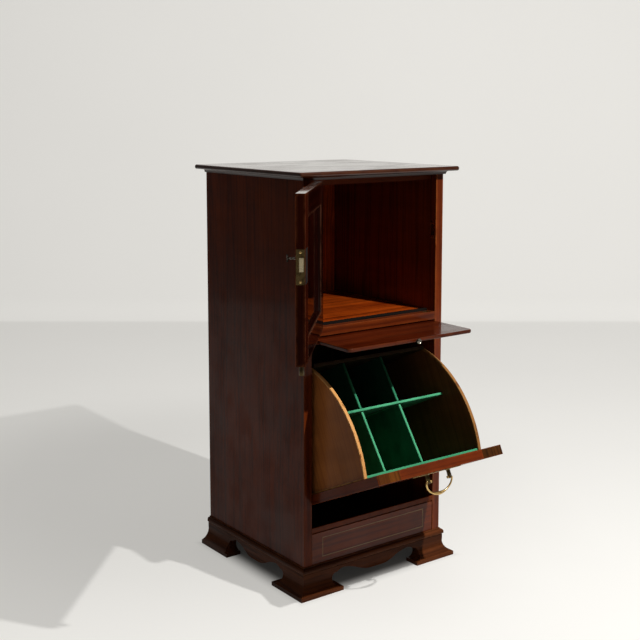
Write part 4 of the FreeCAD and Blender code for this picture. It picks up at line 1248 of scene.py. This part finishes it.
@dataclass
class Door:
    """Framed door with its panel, bead, lock and hinges, drawn closed."""
    half: float = 182.2
    low: float = 612.7
    high: float = 939.7
    thickness: float = 19.0
    frame: float = 48.0
    panel_thickness: float = 11.0
    bead: float = 5.0
    bead_hollow: float = 0.96
    bead_steps: int = 6
    ease: float = 0.7
    joint_ease: float = 0.35
    veneer: float = 0.3
    veneer_lap: float = 0.2
    veneer_ease: float = 0.15
    veneer_fade: float = 3.0
    edge_inset: float = 0.3
    edge_fade: float = 1.0
    skin: float = 0.05
    plate_screws: Span = (774.2, 830.2)
    leaf_lows: Span = (644.7, 857.7)
    leaf_length: float = 50.0
    leaf_screws: tuple[float, ...] = (0.17, 0.5, 0.83)
    leaf_screw_back: float = 9.0
    leaf_screw_radius: float = 2.0
    opening_half: float = 183.0
    key: Span = (155.2, 815.2)
    key_reach: Span = (-18.2, 8.0)
    key_bar_sides: int = 20

    def build(self, shop: Workshop) -> None:
        """Makes the frame, its veneer and top edge, the panel, the bead, the key and the rows of screws.

        Args:
            shop: the workshop that makes the pieces.
        """
        edge, inner = self.half - self.skin, self.half - self.frame
        upright, depth = (self.low, self.high), (self.veneer, self.thickness - self.skin)
        lap = self.veneer + self.veneer_lap
        veneer = eased_board((-edge, edge), (0, lap), upright, self.veneer_ease, self.veneer_fade)
        shop.piece("door_veneer", Body.DOOR, veneer, MAHOGANY, Axis.Z)
        top = eased_board((self.edge_inset - edge, edge - self.edge_inset),
                          (lap, self.thickness - self.edge_inset),
                          (self.high - self.veneer, self.high + self.skin), self.veneer_ease, self.edge_fade)
        shop.piece("door_top_edge", Body.DOOR, top, TOP_MAHOGANY, Axis.X)
        # Frame, panel and bead are the shaded copies: painted shade on the door's edge and inside, while the
        # veneer keeps the plain mahogany.
        for node, x, wood in (("door_hinge_stile", (-edge, -inner), SHADED_DOOR),
                              ("door_lock_stile", (inner, edge), SHADED_MAHOGANY)):
            shop.board(node, Body.DOOR, x, depth, upright, self.ease, Axis.Z, wood)
        panel_z = (self.low + self.frame, self.high - self.frame)
        for node, y, z, along in (("door_rail_top", depth, (panel_z[1], self.high), Axis.X),
                                  ("door_rail_bottom", depth, (self.low, panel_z[0]), Axis.X),
                                  ("door_panel", (self.veneer, self.panel_thickness), panel_z, Axis.Z)):
            shop.board(node, Body.DOOR, (-inner, inner), y, z, self.joint_ease, along, SHADED_DOOR)
        self.mitred_bead(shop)
        self.bar_key(shop)
        middle = self.thickness / 2
        shop.screws("faceplate_screws", Body.DOOR, [(self.half, middle, z) for z in self.plate_screws],
                    (1, 0, 0))
        heights = [low + share * self.leaf_length for low in self.leaf_lows for share in self.leaf_screws]
        for name, body, x, way in (("leaf_screws_door", Body.DOOR, -self.half, -1),
                                   ("leaf_screws_fixed", Body.CARCASS, -self.opening_half, 1)):
            shop.screws(name, body, [(x, self.leaf_screw_back, z) for z in heights], (way, 0, 0),
                        self.leaf_screw_radius)

    def mitred_bead(self, shop: Workshop) -> None:
        """Bead round the panel: a hollow-sided section carried along four lengths, mitred at the corners.

        A section point (inward, back) shortens its line by the inward reach at both ends.

        Args:
            shop: the workshop that makes the pieces.
        """
        turn = np.linspace(0, math.pi / 2, self.bead_steps)[::-1]
        hollow = self.bead * (1 - self.bead_hollow * np.stack([np.sin(turn), np.cos(turn)], axis=1))
        section = np.concatenate([hollow, [(0.0, 0.0)]])
        reach, back = section[:, 0], section[:, 1] + self.panel_thickness
        inner = self.half - self.frame - reach
        levels = (self.low + self.frame + reach, self.high - self.frame - reach)
        lengths = []
        for sign, level in zip((-1, 1), levels):
            upright = [np.stack([sign * inner, back, end], axis=1) for end in levels]
            across = [np.stack([side * inner, back, level], axis=1) for side in (-1, 1)]
            lengths += [swept(np.array(upright)), swept(np.array(across))]
        shop.piece("door_bead.mitred", Body.DOOR, lengths[0].joined(*lengths[1:]), SHADED_DOOR,
                   Axis.Z, ("door_bead",))

    def bar_key(self, shop: Workshop) -> None:
        """Key: a turned stem with two collars, and a round bar across its end that swells to its tips.

        Args:
            shop: the workshop that makes the pieces.
        """
        x, z = self.key
        end, inside = self.key_reach
        length = inside - end
        stem = [(1.2, 0.0), (2.4, 0.3), (2.8, 1.2), (2.4, 2.4), (1.8, 3.2), (1.8, 6.2), (2.6, 6.8),
                (2.7, 7.8), (1.9, 8.6), (1.9, 13.0), (2.8, 13.8), (2.8, 16.6), (2.0, 17.0),
                (2.0, length - 0.4), (1.6, length)]
        bar = [(0.5, 0.0), (1.4, 0.4), (1.8, 1.4), (1.7, 3.0), (1.3, 5.6), (1.6, 7.5), (1.3, 9.4),
               (1.7, 12.0), (1.8, 13.6), (1.4, 14.6), (0.5, 15.0)]
        across = turned_piece(bar, (x, end, z - bar[-1][1] / 2), (0, 0, 1), self.key_bar_sides)
        shop.piece("key.turned", Body.KEY, turned_piece(stem, (x, end, z), (0, 1, 0)).joined(across), STEEL,
                   Axis.Z, ("key",))

    def dress(self, shop: Workshop) -> None:
        """Finishes the metalwork that keeps its CAD shape.

        Args:
            shop: the workshop that makes the pieces.
        """
        shop.dress(BRASS, Axis.Z, "hinge_leaves_door", "key_escutcheon")
        shop.dress(BRIGHT_BRASS, Axis.Z, "lock_bolt")
        shop.dress(DULL_BRASS, Axis.Z, "lock_faceplate")
        shop.dress(DARK_BRASS, Axis.Z, "shoot_bolt")
        shop.dress(JAPANNED, Axis.Z, "lock_case")


@dataclass
class Slide:
    """Brushing slide and its knob, drawn pushed in."""
    half: float = 182.0
    depth: float = 340.0
    bottom: float = 580.7
    thickness: float = 8.5
    corner: float = 12.0
    rear_corner: float = 1.5
    corner_steps: int = 9
    ease: float = 2.4
    fade: float = 7.0
    knob_radius: float = 6.2
    knob_length: float = 11.0
    knob_x: float = 8.0
    knob_z: float = 584.1
    knob_profile: tuple[Span, ...] = (
        (0.45, 0.0), (0.43, 0.08), (0.38, 0.2), (0.37, 0.36), (0.45, 0.44), (0.72, 0.5), (0.93, 0.57),
        (1.0, 0.68), (1.0, 0.8), (0.95, 0.93), (0.86, 0.99), (0.76, 1.0), (0.66, 0.96), (0.52, 0.9),
        (0.40, 0.91), (0.26, 0.97), (0.06, 0.98))

    def build(self, shop: Workshop) -> None:
        """Makes the board with its rounded front corners, and the turned knob.

        Args:
            shop: the workshop that makes the pieces.
        """
        half, depth, rear = self.half, self.depth, self.rear_corner
        line = rounded_outline([(-half, 0), (half, 0), (half, depth), (-half, depth)],
                               [self.corner, self.corner, rear, rear], self.corner_steps)
        plate = eased_plate(line, (self.bottom, self.bottom + self.thickness), self.ease, Axis.Z, self.fade)
        shop.piece("slide_board.board", Body.SLIDE, plate, SLIDE_MAHOGANY, Axis.X, ("slide_board",))
        profile = np.array(self.knob_profile) * (self.knob_radius, self.knob_length)
        knob = turned_piece(profile, (self.knob_x, 0, self.knob_z), (0, -1, 0))
        shop.piece("slide_knob.turned", Body.SLIDE, knob, GREY_PLATE, Axis.Y, ("slide_knob",))


@dataclass
class Bin:
    """Tilting bin: fall front, quadrants, floor, back and baize divisions, drawn closed."""
    half: float = 182.2
    low: float = 156.0
    high: float = 573.5
    thickness: float = 22.0
    stile: float = 60.0
    bottom_rail: float = 70.0
    top_rail: float = 60.0
    panel_thickness: float = 14.0
    ease: float = 1.1
    joint_ease: float = 0.35
    end_inset: float = 0.3
    end_ease: float = 0.3
    end_fade: float = 1.0
    quadrant_x: Span = (164.7, 173.2)
    quadrant_drop: float = 56.2
    quadrant_ease: float = 1.4
    quadrant_fade: float = 3.0
    quadrant_corners: tuple[float, float, float] = (1.0, 6.0, 2.0)
    rim_steps: int = 40
    rear_rise: float = 153.0
    floor_low: float = 166.0
    floor_ease: float = 0.4
    back_ease: float = 1.0
    board: float = 8.0
    lining: float = 6.0
    lining_drop: float = 2.0
    lining_ease: float = 2.0
    cloth_fade: float = 2.0
    divider: float = 6.0
    divider_ease: float = 2.2
    divider_corners: tuple[float, ...] = (0.5, 0.5, 2.4, 2.4)
    cross_back: float = 173.0
    cross_drop: float = 121.5
    slope: float = 10.0
    long_x: Span = (-77.4, 32.7)
    long_drop: float = 6.5
    # Share of the edges' paleness taken away at the back of the rear lengths, as painted shade.
    rear_shade: float = 0.85
    skin: float = 0.04

    def divider_top(self, back: float) -> float:
        """Height of the sloping divider tops at a place behind the fall's face."""
        return self.high - self.cross_drop + (self.cross_back - back) * math.tan(math.radians(self.slope))

    def rim_radius(self, pivot: Span) -> float:
        """Radius of the quadrants' upper edge about the pivot."""
        return math.hypot(pivot[0] - self.thickness, self.high - self.quadrant_drop - pivot[1])

    def build(self, shop: Workshop) -> None:
        """Makes the fall, the quadrants and the lined divisions.

        Args:
            shop: the workshop that makes the pieces.
        """
        inner, ease = self.half - self.stile, self.ease
        depth, upright = (0, self.thickness), (self.low, self.high)
        for node, x in (("fall_stile_left", (-self.half, -inner)), ("fall_stile_right", (inner, self.half))):
            shop.board(node, Body.BIN, x, depth, upright, ease, Axis.Z, DULL_MAHOGANY)
        for name, x, wood in (("stile_end_left", (ease - self.half, -inner - self.end_inset), END_GRAIN),
                              ("stile_end_right", (inner + self.end_inset, self.half - ease), DARK_END)):
            end = eased_board(x, (ease, self.thickness - ease), (self.high - ease, self.high + self.skin),
                              self.end_ease, self.end_fade)
            shop.piece(name, Body.BIN, end, wood, Axis.Y)
        panel_z = (self.low + self.bottom_rail, self.high - self.top_rail)
        for node, y, z, along in (("fall_rail_top", depth, (panel_z[1], self.high), Axis.X),
                                  ("fall_rail_bottom", depth, (self.low, panel_z[0]), Axis.X),
                                  ("fall_panel", (0, self.panel_thickness), panel_z, Axis.Z)):
            shop.board(node, Body.BIN, (-inner, inner), y, z, self.joint_ease, along)
        self.quadrants(shop)
        self.divisions(shop)

    def quadrants(self, shop: Workshop) -> None:
        """Two side boards whose upper edge is an arc about the pivot.

        Args:
            shop: the workshop that makes the pieces.
        """
        back, level = shop.set_out.pivot
        radius, ahead = self.rim_radius(shop.set_out.pivot), back - self.thickness
        start = math.atan2(math.sqrt(radius ** 2 - ahead ** 2), -ahead)
        turn = np.linspace(math.asin(self.rear_rise / radius), start, self.rim_steps)
        rim = np.stack([back + radius * np.cos(turn), level + radius * np.sin(turn)], axis=1)
        corners = [(self.thickness, self.floor_low), (rim[0, 0], self.floor_low), *map(tuple, rim)]
        plain = [0.0] * (self.rim_steps - 2)
        line = rounded_outline(corners, [*self.quadrant_corners, *plain, self.quadrant_corners[-1]])
        low, high = self.quadrant_x
        for node, span, wood in (("quadrant_left", (-high, -low), INNER_MAHOGANY),
                                 ("quadrant_right", (low, high), SHADED_INNER)):
            plate = eased_plate(line, span, self.quadrant_ease, Axis.X, self.quadrant_fade)
            shop.piece(node + ".board", Body.BIN, plate, wood, Axis.Y, (node,))

    def divisions(self, shop: Workshop) -> None:
        """Floor and back of the bin, and its baize-covered lining, cross divider and two long dividers.

        The cloth is pale along the edges in front, partly rubbed and partly a painted highlight; behind the
        cross
        divider the paleness dies away in a straight line towards the back, and the rear lengths are a darker
        cloth:
        painted shade under the slide. The bin's back is a darker copy of the inner wood, also painted shade.

        Args:
            shop: the workshop that makes the pieces.
        """
        wide = (-self.quadrant_x[0], self.quadrant_x[0])
        pivot = shop.set_out.pivot
        back = pivot[0] + math.sqrt(self.rim_radius(pivot) ** 2 - self.rear_rise ** 2)
        floor_top, rear_face = self.floor_low + self.board, back - self.board
        shop.board("bin_floor", Body.BIN, wide, (self.thickness, rear_face), (self.floor_low, floor_top),
                   self.floor_ease, Axis.X, INNER_MAHOGANY)
        shop.board("bin_back", Body.BIN, wide, (rear_face, back),
                   (self.floor_low, self.divider_top(rear_face)), self.back_ease, Axis.X, SHADED_INNER_BACK)
        lining_y = (self.thickness, self.thickness + self.lining)
        lining_z = (floor_top, self.high - self.quadrant_drop - self.lining_drop)
        shop.board("bin_lining", Body.BIN, wide, lining_y, lining_z, self.lining_ease, Axis.X, LINING_BAIZE,
                   self.cloth_fade)
        half = self.divider / 2
        cross_y = (self.cross_back - half, self.cross_back + half)
        shop.board("divider_cross", Body.BIN, wide, cross_y, (floor_top, self.divider_top(cross_y[1])),
                   self.divider_ease, Axis.X, BAIZE, self.cloth_fade)
        # Rear lengths take the darker cloth, and their pale edges die away towards the back: painted shade.
        lengths = ((".front", lining_y[1], cross_y[0], BAIZE, 0.0),
                   (".rear", cross_y[1], rear_face, SHADED_BAIZE, self.rear_shade))
        for node, middle in zip(("divider_left", "divider_right"), self.long_x):
            for label, front, rear, cloth, shade_toward_back in lengths:
                corners = [(front, floor_top), (rear, floor_top),
                           (rear, self.divider_top(rear) - self.long_drop),
                           (front, self.divider_top(front) - self.long_drop)]
                line = rounded_outline(corners, self.divider_corners)
                board = eased_plate(line, (middle - half, middle + half), self.divider_ease, Axis.X,
                                    self.cloth_fade)
                board.edge *= 1 - shade_toward_back * (board.points[:, 1] - front) / (rear - front)
                shop.piece(node + label, Body.BIN, board, cloth, Axis.Y, (node,))


@dataclass
class Handle:
    """Swan-neck handle on the fall, drawn with the fall closed."""
    level: float = 549.5
    spacing: float = 62.0
    length: float = 140.0
    height: float = 32.0
    waist: float = 14.0
    shoulder: float = 20.0
    tip: float = 0.25
    blunt: float = 1.0
    plate: float = 1.6
    plate_ease: float = 0.5
    plate_fade: float = 0.8
    plate_hold: float = 0.5
    stand: float = 16.0
    drop: float = 31.0
    wire: float = 2.0
    swell: float = 3.8
    swell_angle: float = 32.0
    elbow: float = 3.0
    reach: float = 3.4
    end_radius: float = 2.9
    end_length: float = 4.0
    collar: float = 0.6
    elbow_steps: int = 7
    bow_steps: int = 26

    def build(self, shop: Workshop) -> None:
        """Makes the shaped backplate and the bail, and finishes the two posts.

        Args:
            shop: the workshop that makes the pieces.
        """
        plate = eased_plate(self.plate_line(), (-self.plate, 0.0), self.plate_ease, Axis.Y, self.plate_fade)
        shop.piece("handle_backplate.plate", Body.BIN, plate, BRASS, Axis.X, ("handle_backplate",))
        self.bail(shop)
        shop.dress(DULL_BRASS, Axis.X, "handle_posts")

    def plate_line(self) -> Outline:
        """Outline of the backplate as (up, across): two bosses with hollowed tips and a straight waist.

        Each curve is the circle through a start, a middle and an end point, read at even angles.

        Returns:
            The outline, held back from its own middle line.
        """
        half, high, waist = self.length / 2, self.height / 2, self.waist / 2
        post = self.spacing / 2
        near, far = post - self.shoulder / 2, post + self.shoulder / 2
        tip_x, hollow = (far + half) / 2, waist * self.tip
        top = [self.arc((half, self.blunt), (tip_x, hollow + self.blunt), (far, waist)),
               self.arc((far, waist), (post, high), (near, waist))]
        top += [points[::-1] * (-1, 1) for points in reversed(top)]
        upper = np.concatenate([points[:-1] for points in top] + [top[-1][-1:]])
        ring = np.concatenate([upper, -upper])
        pairs = [(float(z), float(x)) for x, z in ring[::-1]]
        line = rounded_outline(pairs, [0.0] * len(pairs))
        line.limit = self.plate_hold * np.abs(line.corner[:, 0])
        line.corner[:, 0] += self.level
        return line

    @staticmethod
    def arc(start: Span, middle: Span, end: Span, steps: int = 13) -> np.ndarray:
        """Points of the circle through three points, from the first to the last.

        Args:
            start, middle, end: three points of the circle.
            steps: number of points.

        Returns:
            (steps, 2) points.
        """
        a, b, c = (complex(*p) for p in (start, middle, end))
        w = (c - a) / (b - a)
        centre = a + (b - a) * (w - abs(w) ** 2) / (2j * w.imag)
        turn = np.angle((c - centre) / (a - centre))
        bulge = np.angle((b - centre) / (a - centre))
        if turn * bulge < 0 or abs(bulge) > abs(turn):
            turn -= math.copysign(2 * math.pi, turn)
        points = centre + (a - centre) * np.exp(1j * turn * np.linspace(0, 1, steps))
        return np.stack([points.real, points.imag], axis=1)

    def bail(self, shop: Workshop) -> None:
        """Bail hanging straight down from the pivots of the opened fall.

        Half of its middle line is a straight end, a small elbow and a quarter of an ellipse; the bar thickens
        with a cosine towards the grip.

        Args:
            shop: the workshop that makes the pieces.
        """
        inner, bend = self.spacing / 2 - self.reach, self.spacing / 2 + self.reach
        half, deep = bend + self.elbow, self.drop - self.elbow
        end = [inner - self.end_length, inner - self.wire - self.collar, inner - self.wire]
        across = np.array([*end, inner, bend])
        straight = np.stack([across, np.zeros_like(across)], axis=1)
        turn = np.linspace(0, math.pi / 2, self.elbow_steps)[1:]
        elbow = np.stack([bend + self.elbow * np.sin(turn), self.elbow * (1 - np.cos(turn))], axis=1)
        turn = np.linspace(math.pi / 2, math.pi, self.bow_steps)[1:]
        bow = np.stack([half * np.sin(turn), self.elbow - deep * np.cos(turn)], axis=1)
        line = np.concatenate([straight, elbow, bow])
        away = np.clip((math.pi - turn) / math.radians(self.swell_angle), 0, 1)
        radius = np.full(len(line), self.wire)
        radius[:len(end)] = self.end_radius
        radius[-len(bow):] += (self.swell - self.wire) * np.cos(away * math.pi / 2)
        path = np.concatenate([line, line[-2::-1] * (-1, 1)])
        radius = np.concatenate([radius, radius[-2::-1]])
        pivot = shop.set_out.turned(np.array([[0.0, -self.plate - self.stand, self.level]]), Body.BIN)[0]
        points = pivot + np.stack([path[:, 0], np.zeros(len(path)), -path[:, 1]], axis=1)
        shop.piece("handle_bail.tube", Body.BAIL, tube(points, radius, (0, 1, 0)), BRASS, Axis.X,
                   ("handle_bail",))


@dataclass(frozen=True)
class Lamp:
    """Rectangular lamp at a place, facing a point."""
    name: str
    place: tuple[float, float, float]
    aim: tuple[float, float, float]
    size: Span
    watts: float

    def build(self) -> None:
        """Puts the lamp in the scene, where the camera doesn't see it."""
        data = bpy.data.lights.new(self.name, "AREA")
        data.shape, data.energy = "RECTANGLE", self.watts
        data.size, data.size_y = self.size
        thing = bpy.data.objects.new(self.name, data)
        thing.location = self.place
        away = np.array(self.aim) - np.array(self.place)
        thing.rotation_euler = (math.acos(-away[2] / np.linalg.norm(away)), 0,
                                math.atan2(away[1], away[0]) - math.pi / 2)
        thing.visible_camera = False
        bpy.context.scene.collection.objects.link(thing)


@dataclass
class Studio:
    """Pale sweep of paper, two lamps, a dim room and the camera at the photograph's angle."""
    camera: tuple[float, float, float] = (-1.5132, -2.0084, 1.0964)
    azimuth: float = -36.66
    pitch: float = 6.94
    lens: float = 62.54
    sensor: float = 36.0
    shift: float = -0.12
    lamps: tuple[Lamp, ...] = (
        Lamp("front_lamp", (0.548, -1.681, 2.33), (0.1, 0.0, 0.5), (0.04, 0.04), 72.0),
        Lamp("top_lamp", (0.4, 0.3, 3.6), (0.1, 0.2, 0.0), (2.6, 2.6), 10.0))
    room: Colour = (1.0, 0.985, 0.96)
    room_strength: float = 0.12
    near_end: float = -1.5
    wall: float = 5.7
    bend: float = 0.12
    half: float = 3.6
    rise: float = 3.2
    floor_steps: int = 45
    bend_steps: int = 12
    side_steps: int = 41
    paper: Colour = (0.42, 0.412, 0.392)
    paper_dark: float = 0.97
    paper_scale: float = 1.2
    paper_roughness: float = 0.9
    paper_gloss: float = 0.1
    # Glow of the paper: painted shade around the cabinet's cast shadow, painted light to the right and on the
    # wall.
    glow: Span = (1.09, 1.31)
    shade_middle: tuple[float, float, float] = (0.15, 0.75, 0.0)
    glow_reach: Span = (0.45, 1.15)
    glow_lean: float = 0.06
    wall_lift: float = 0.14
    wall_foot: float = 0.01
    footprint: tuple[Span, Span] = ((0.0958, 0.1284), (0.231, 0.217))
    footprint_fade: Span = (-0.045, 0.02)
    under_cabinet_shade: Span = (0.03, 1.0)

    def build(self) -> None:
        """Sets the camera, the lamps, the world and the paper."""
        scene = bpy.context.scene
        scene.view_settings.view_transform = "Standard"
        self.place_camera()
        for lamp in self.lamps:
            lamp.build()
        self.place_paper()
        world = bpy.data.worlds.new("dim_room")
        scene.world = world
        world.use_nodes = True
        back = world.node_tree.nodes["Background"]
        back.inputs["Color"].default_value = opaque(self.room)
        back.inputs["Strength"].default_value = self.room_strength

    def place_camera(self) -> None:
        """Puts the camera where the cabinet's corners fall as they do in the photograph."""
        data = bpy.data.cameras.new("view")
        data.sensor_width, data.lens, data.shift_y = self.sensor, self.lens, self.shift
        thing = bpy.data.objects.new("view", data)
        thing.location = self.camera
        thing.rotation_euler = (math.radians(90 - self.pitch), 0, math.radians(self.azimuth))
        bpy.context.scene.collection.objects.link(thing)
        bpy.context.scene.camera = thing

    def place_paper(self) -> None:
        """Sheet of pale paper that curves up from the floor into a wall square to the view.

        Its section runs along the floor, round a quarter circle and up; each point is carried sideways. The
        paper's glow carries painted light and shade: lowest around the cabinet's cast shadow, it rises
        smoothly with the distance from it, evenly from left to right, and by a step from the floor to the
        wall.
        """
        turn = np.linspace(0, math.pi / 2, self.bend_steps)
        bend = np.stack([self.wall - self.bend * (1 - np.sin(turn)), self.bend * (1 - np.cos(turn))], axis=1)
        ahead = np.linspace(self.near_end, self.wall - self.bend, self.floor_steps)[:-1]
        flat = np.stack([ahead, np.zeros_like(ahead)], axis=1)
        section = np.concatenate([flat, bend, [(self.wall, self.rise)]])
        side = np.linspace(-self.half, self.half, self.side_steps)
        ahead = np.array([-math.sin(math.radians(self.azimuth)), math.cos(math.radians(self.azimuth))])
        right = np.array([ahead[1], -ahead[0]])
        plan = section[:, None, :1] * ahead + side[None, :, None] * right + np.array(self.camera[:2])
        points = np.concatenate([plan, np.broadcast_to(section[:, None, 1:], plan.shape[:2] + (1,))], axis=2)
        near, far = self.glow_reach
        away = np.clip((np.linalg.norm(points - self.shade_middle, axis=2) - near) / (far - near), 0, 1)
        low, high = self.glow
        glow = low + (high - low) * away ** 2 * (3 - 2 * away) + self.glow_lean * side
        glow += self.wall_lift * (points[..., 2] > self.wall_foot)
        mesh = bpy.data.meshes.new("paper")
        quads = grid_quads(len(section), len(side))[:, ::-1]
        mesh.from_pydata(points.reshape(-1, 3).tolist(), [], quads.tolist())
        mesh.polygons.foreach_set("use_smooth", np.ones(len(mesh.polygons), bool))
        mesh.attributes.new("glow", "FLOAT", "POINT").data.foreach_set("value", glow.ravel())
        mesh.materials.append(self.paper_material())
        thing = bpy.data.objects.new("paper", mesh)
        bpy.context.scene.collection.objects.link(thing)

    def paper_material(self) -> bpy.types.Material:
        """Matt paper that glows in its pale tone for the camera and in gloss, and which keeps the shadow.

        The glow dies away under the cabinet as painted shade, where the larger of the distances past its
        sides and past its front or back is below zero.

        Returns:
            The material.
        """
        material, graph, shader = blank_material("pale_paper")
        place = graph.add("ShaderNodeTexCoord").outputs["Object"]
        darker = tuple(c * self.paper_dark for c in self.paper)
        colour = graph.mix(graph.noise(place, [self.paper_scale] * 3), opaque(self.paper), opaque(darker))
        path = graph.add("ShaderNodeLightPath").outputs
        seen = graph.sums("MAXIMUM", path["Is Camera Ray"], graph.sums(
            "MAXIMUM", path["Is Glossy Ray"], path["Is Transmission Ray"]))
        glow = graph.add("ShaderNodeAttribute", attribute_name="glow").outputs["Fac"]
        split = graph.add("ShaderNodeSeparateXYZ", {0: place}).outputs
        past = []
        for i, (middle, half) in enumerate(zip(*self.footprint)):
            away = graph.sums("ABSOLUTE", graph.sums("SUBTRACT", split[i], middle), 0.0)
            past.append(graph.sums("SUBTRACT", away, half))
        # Painted shade: the glow all but goes out under the cabinet.
        painted_shade_factor = graph.step(graph.sums("MAXIMUM", *past), *self.footprint_fade, *self.under_cabinet_shade)
        tone = graph.sums("MULTIPLY", graph.sums("MULTIPLY", seen, glow), painted_shade_factor)
        graph.feed(shader, {"Base Color": colour, "Roughness": self.paper_roughness,
                            "Specular IOR Level": self.paper_gloss, "Emission Color": colour,
                            "Emission Strength": tone})
        return material


def main() -> None:
    """Builds the cabinet's groups and the studio in order."""
    logging.basicConfig(level=logging.INFO, format="%(message)s")
    shop = Workshop(SetOut())
    carcass, door = Carcass(), Door()
    for group in (carcass, door, Slide(), Bin(), Handle()):
        group.build(shop)
    for group in (carcass, door):
        group.dress(shop)
    Studio().build()
    bpy.context.view_layer.update()


if __name__ == "__main__":
    main()
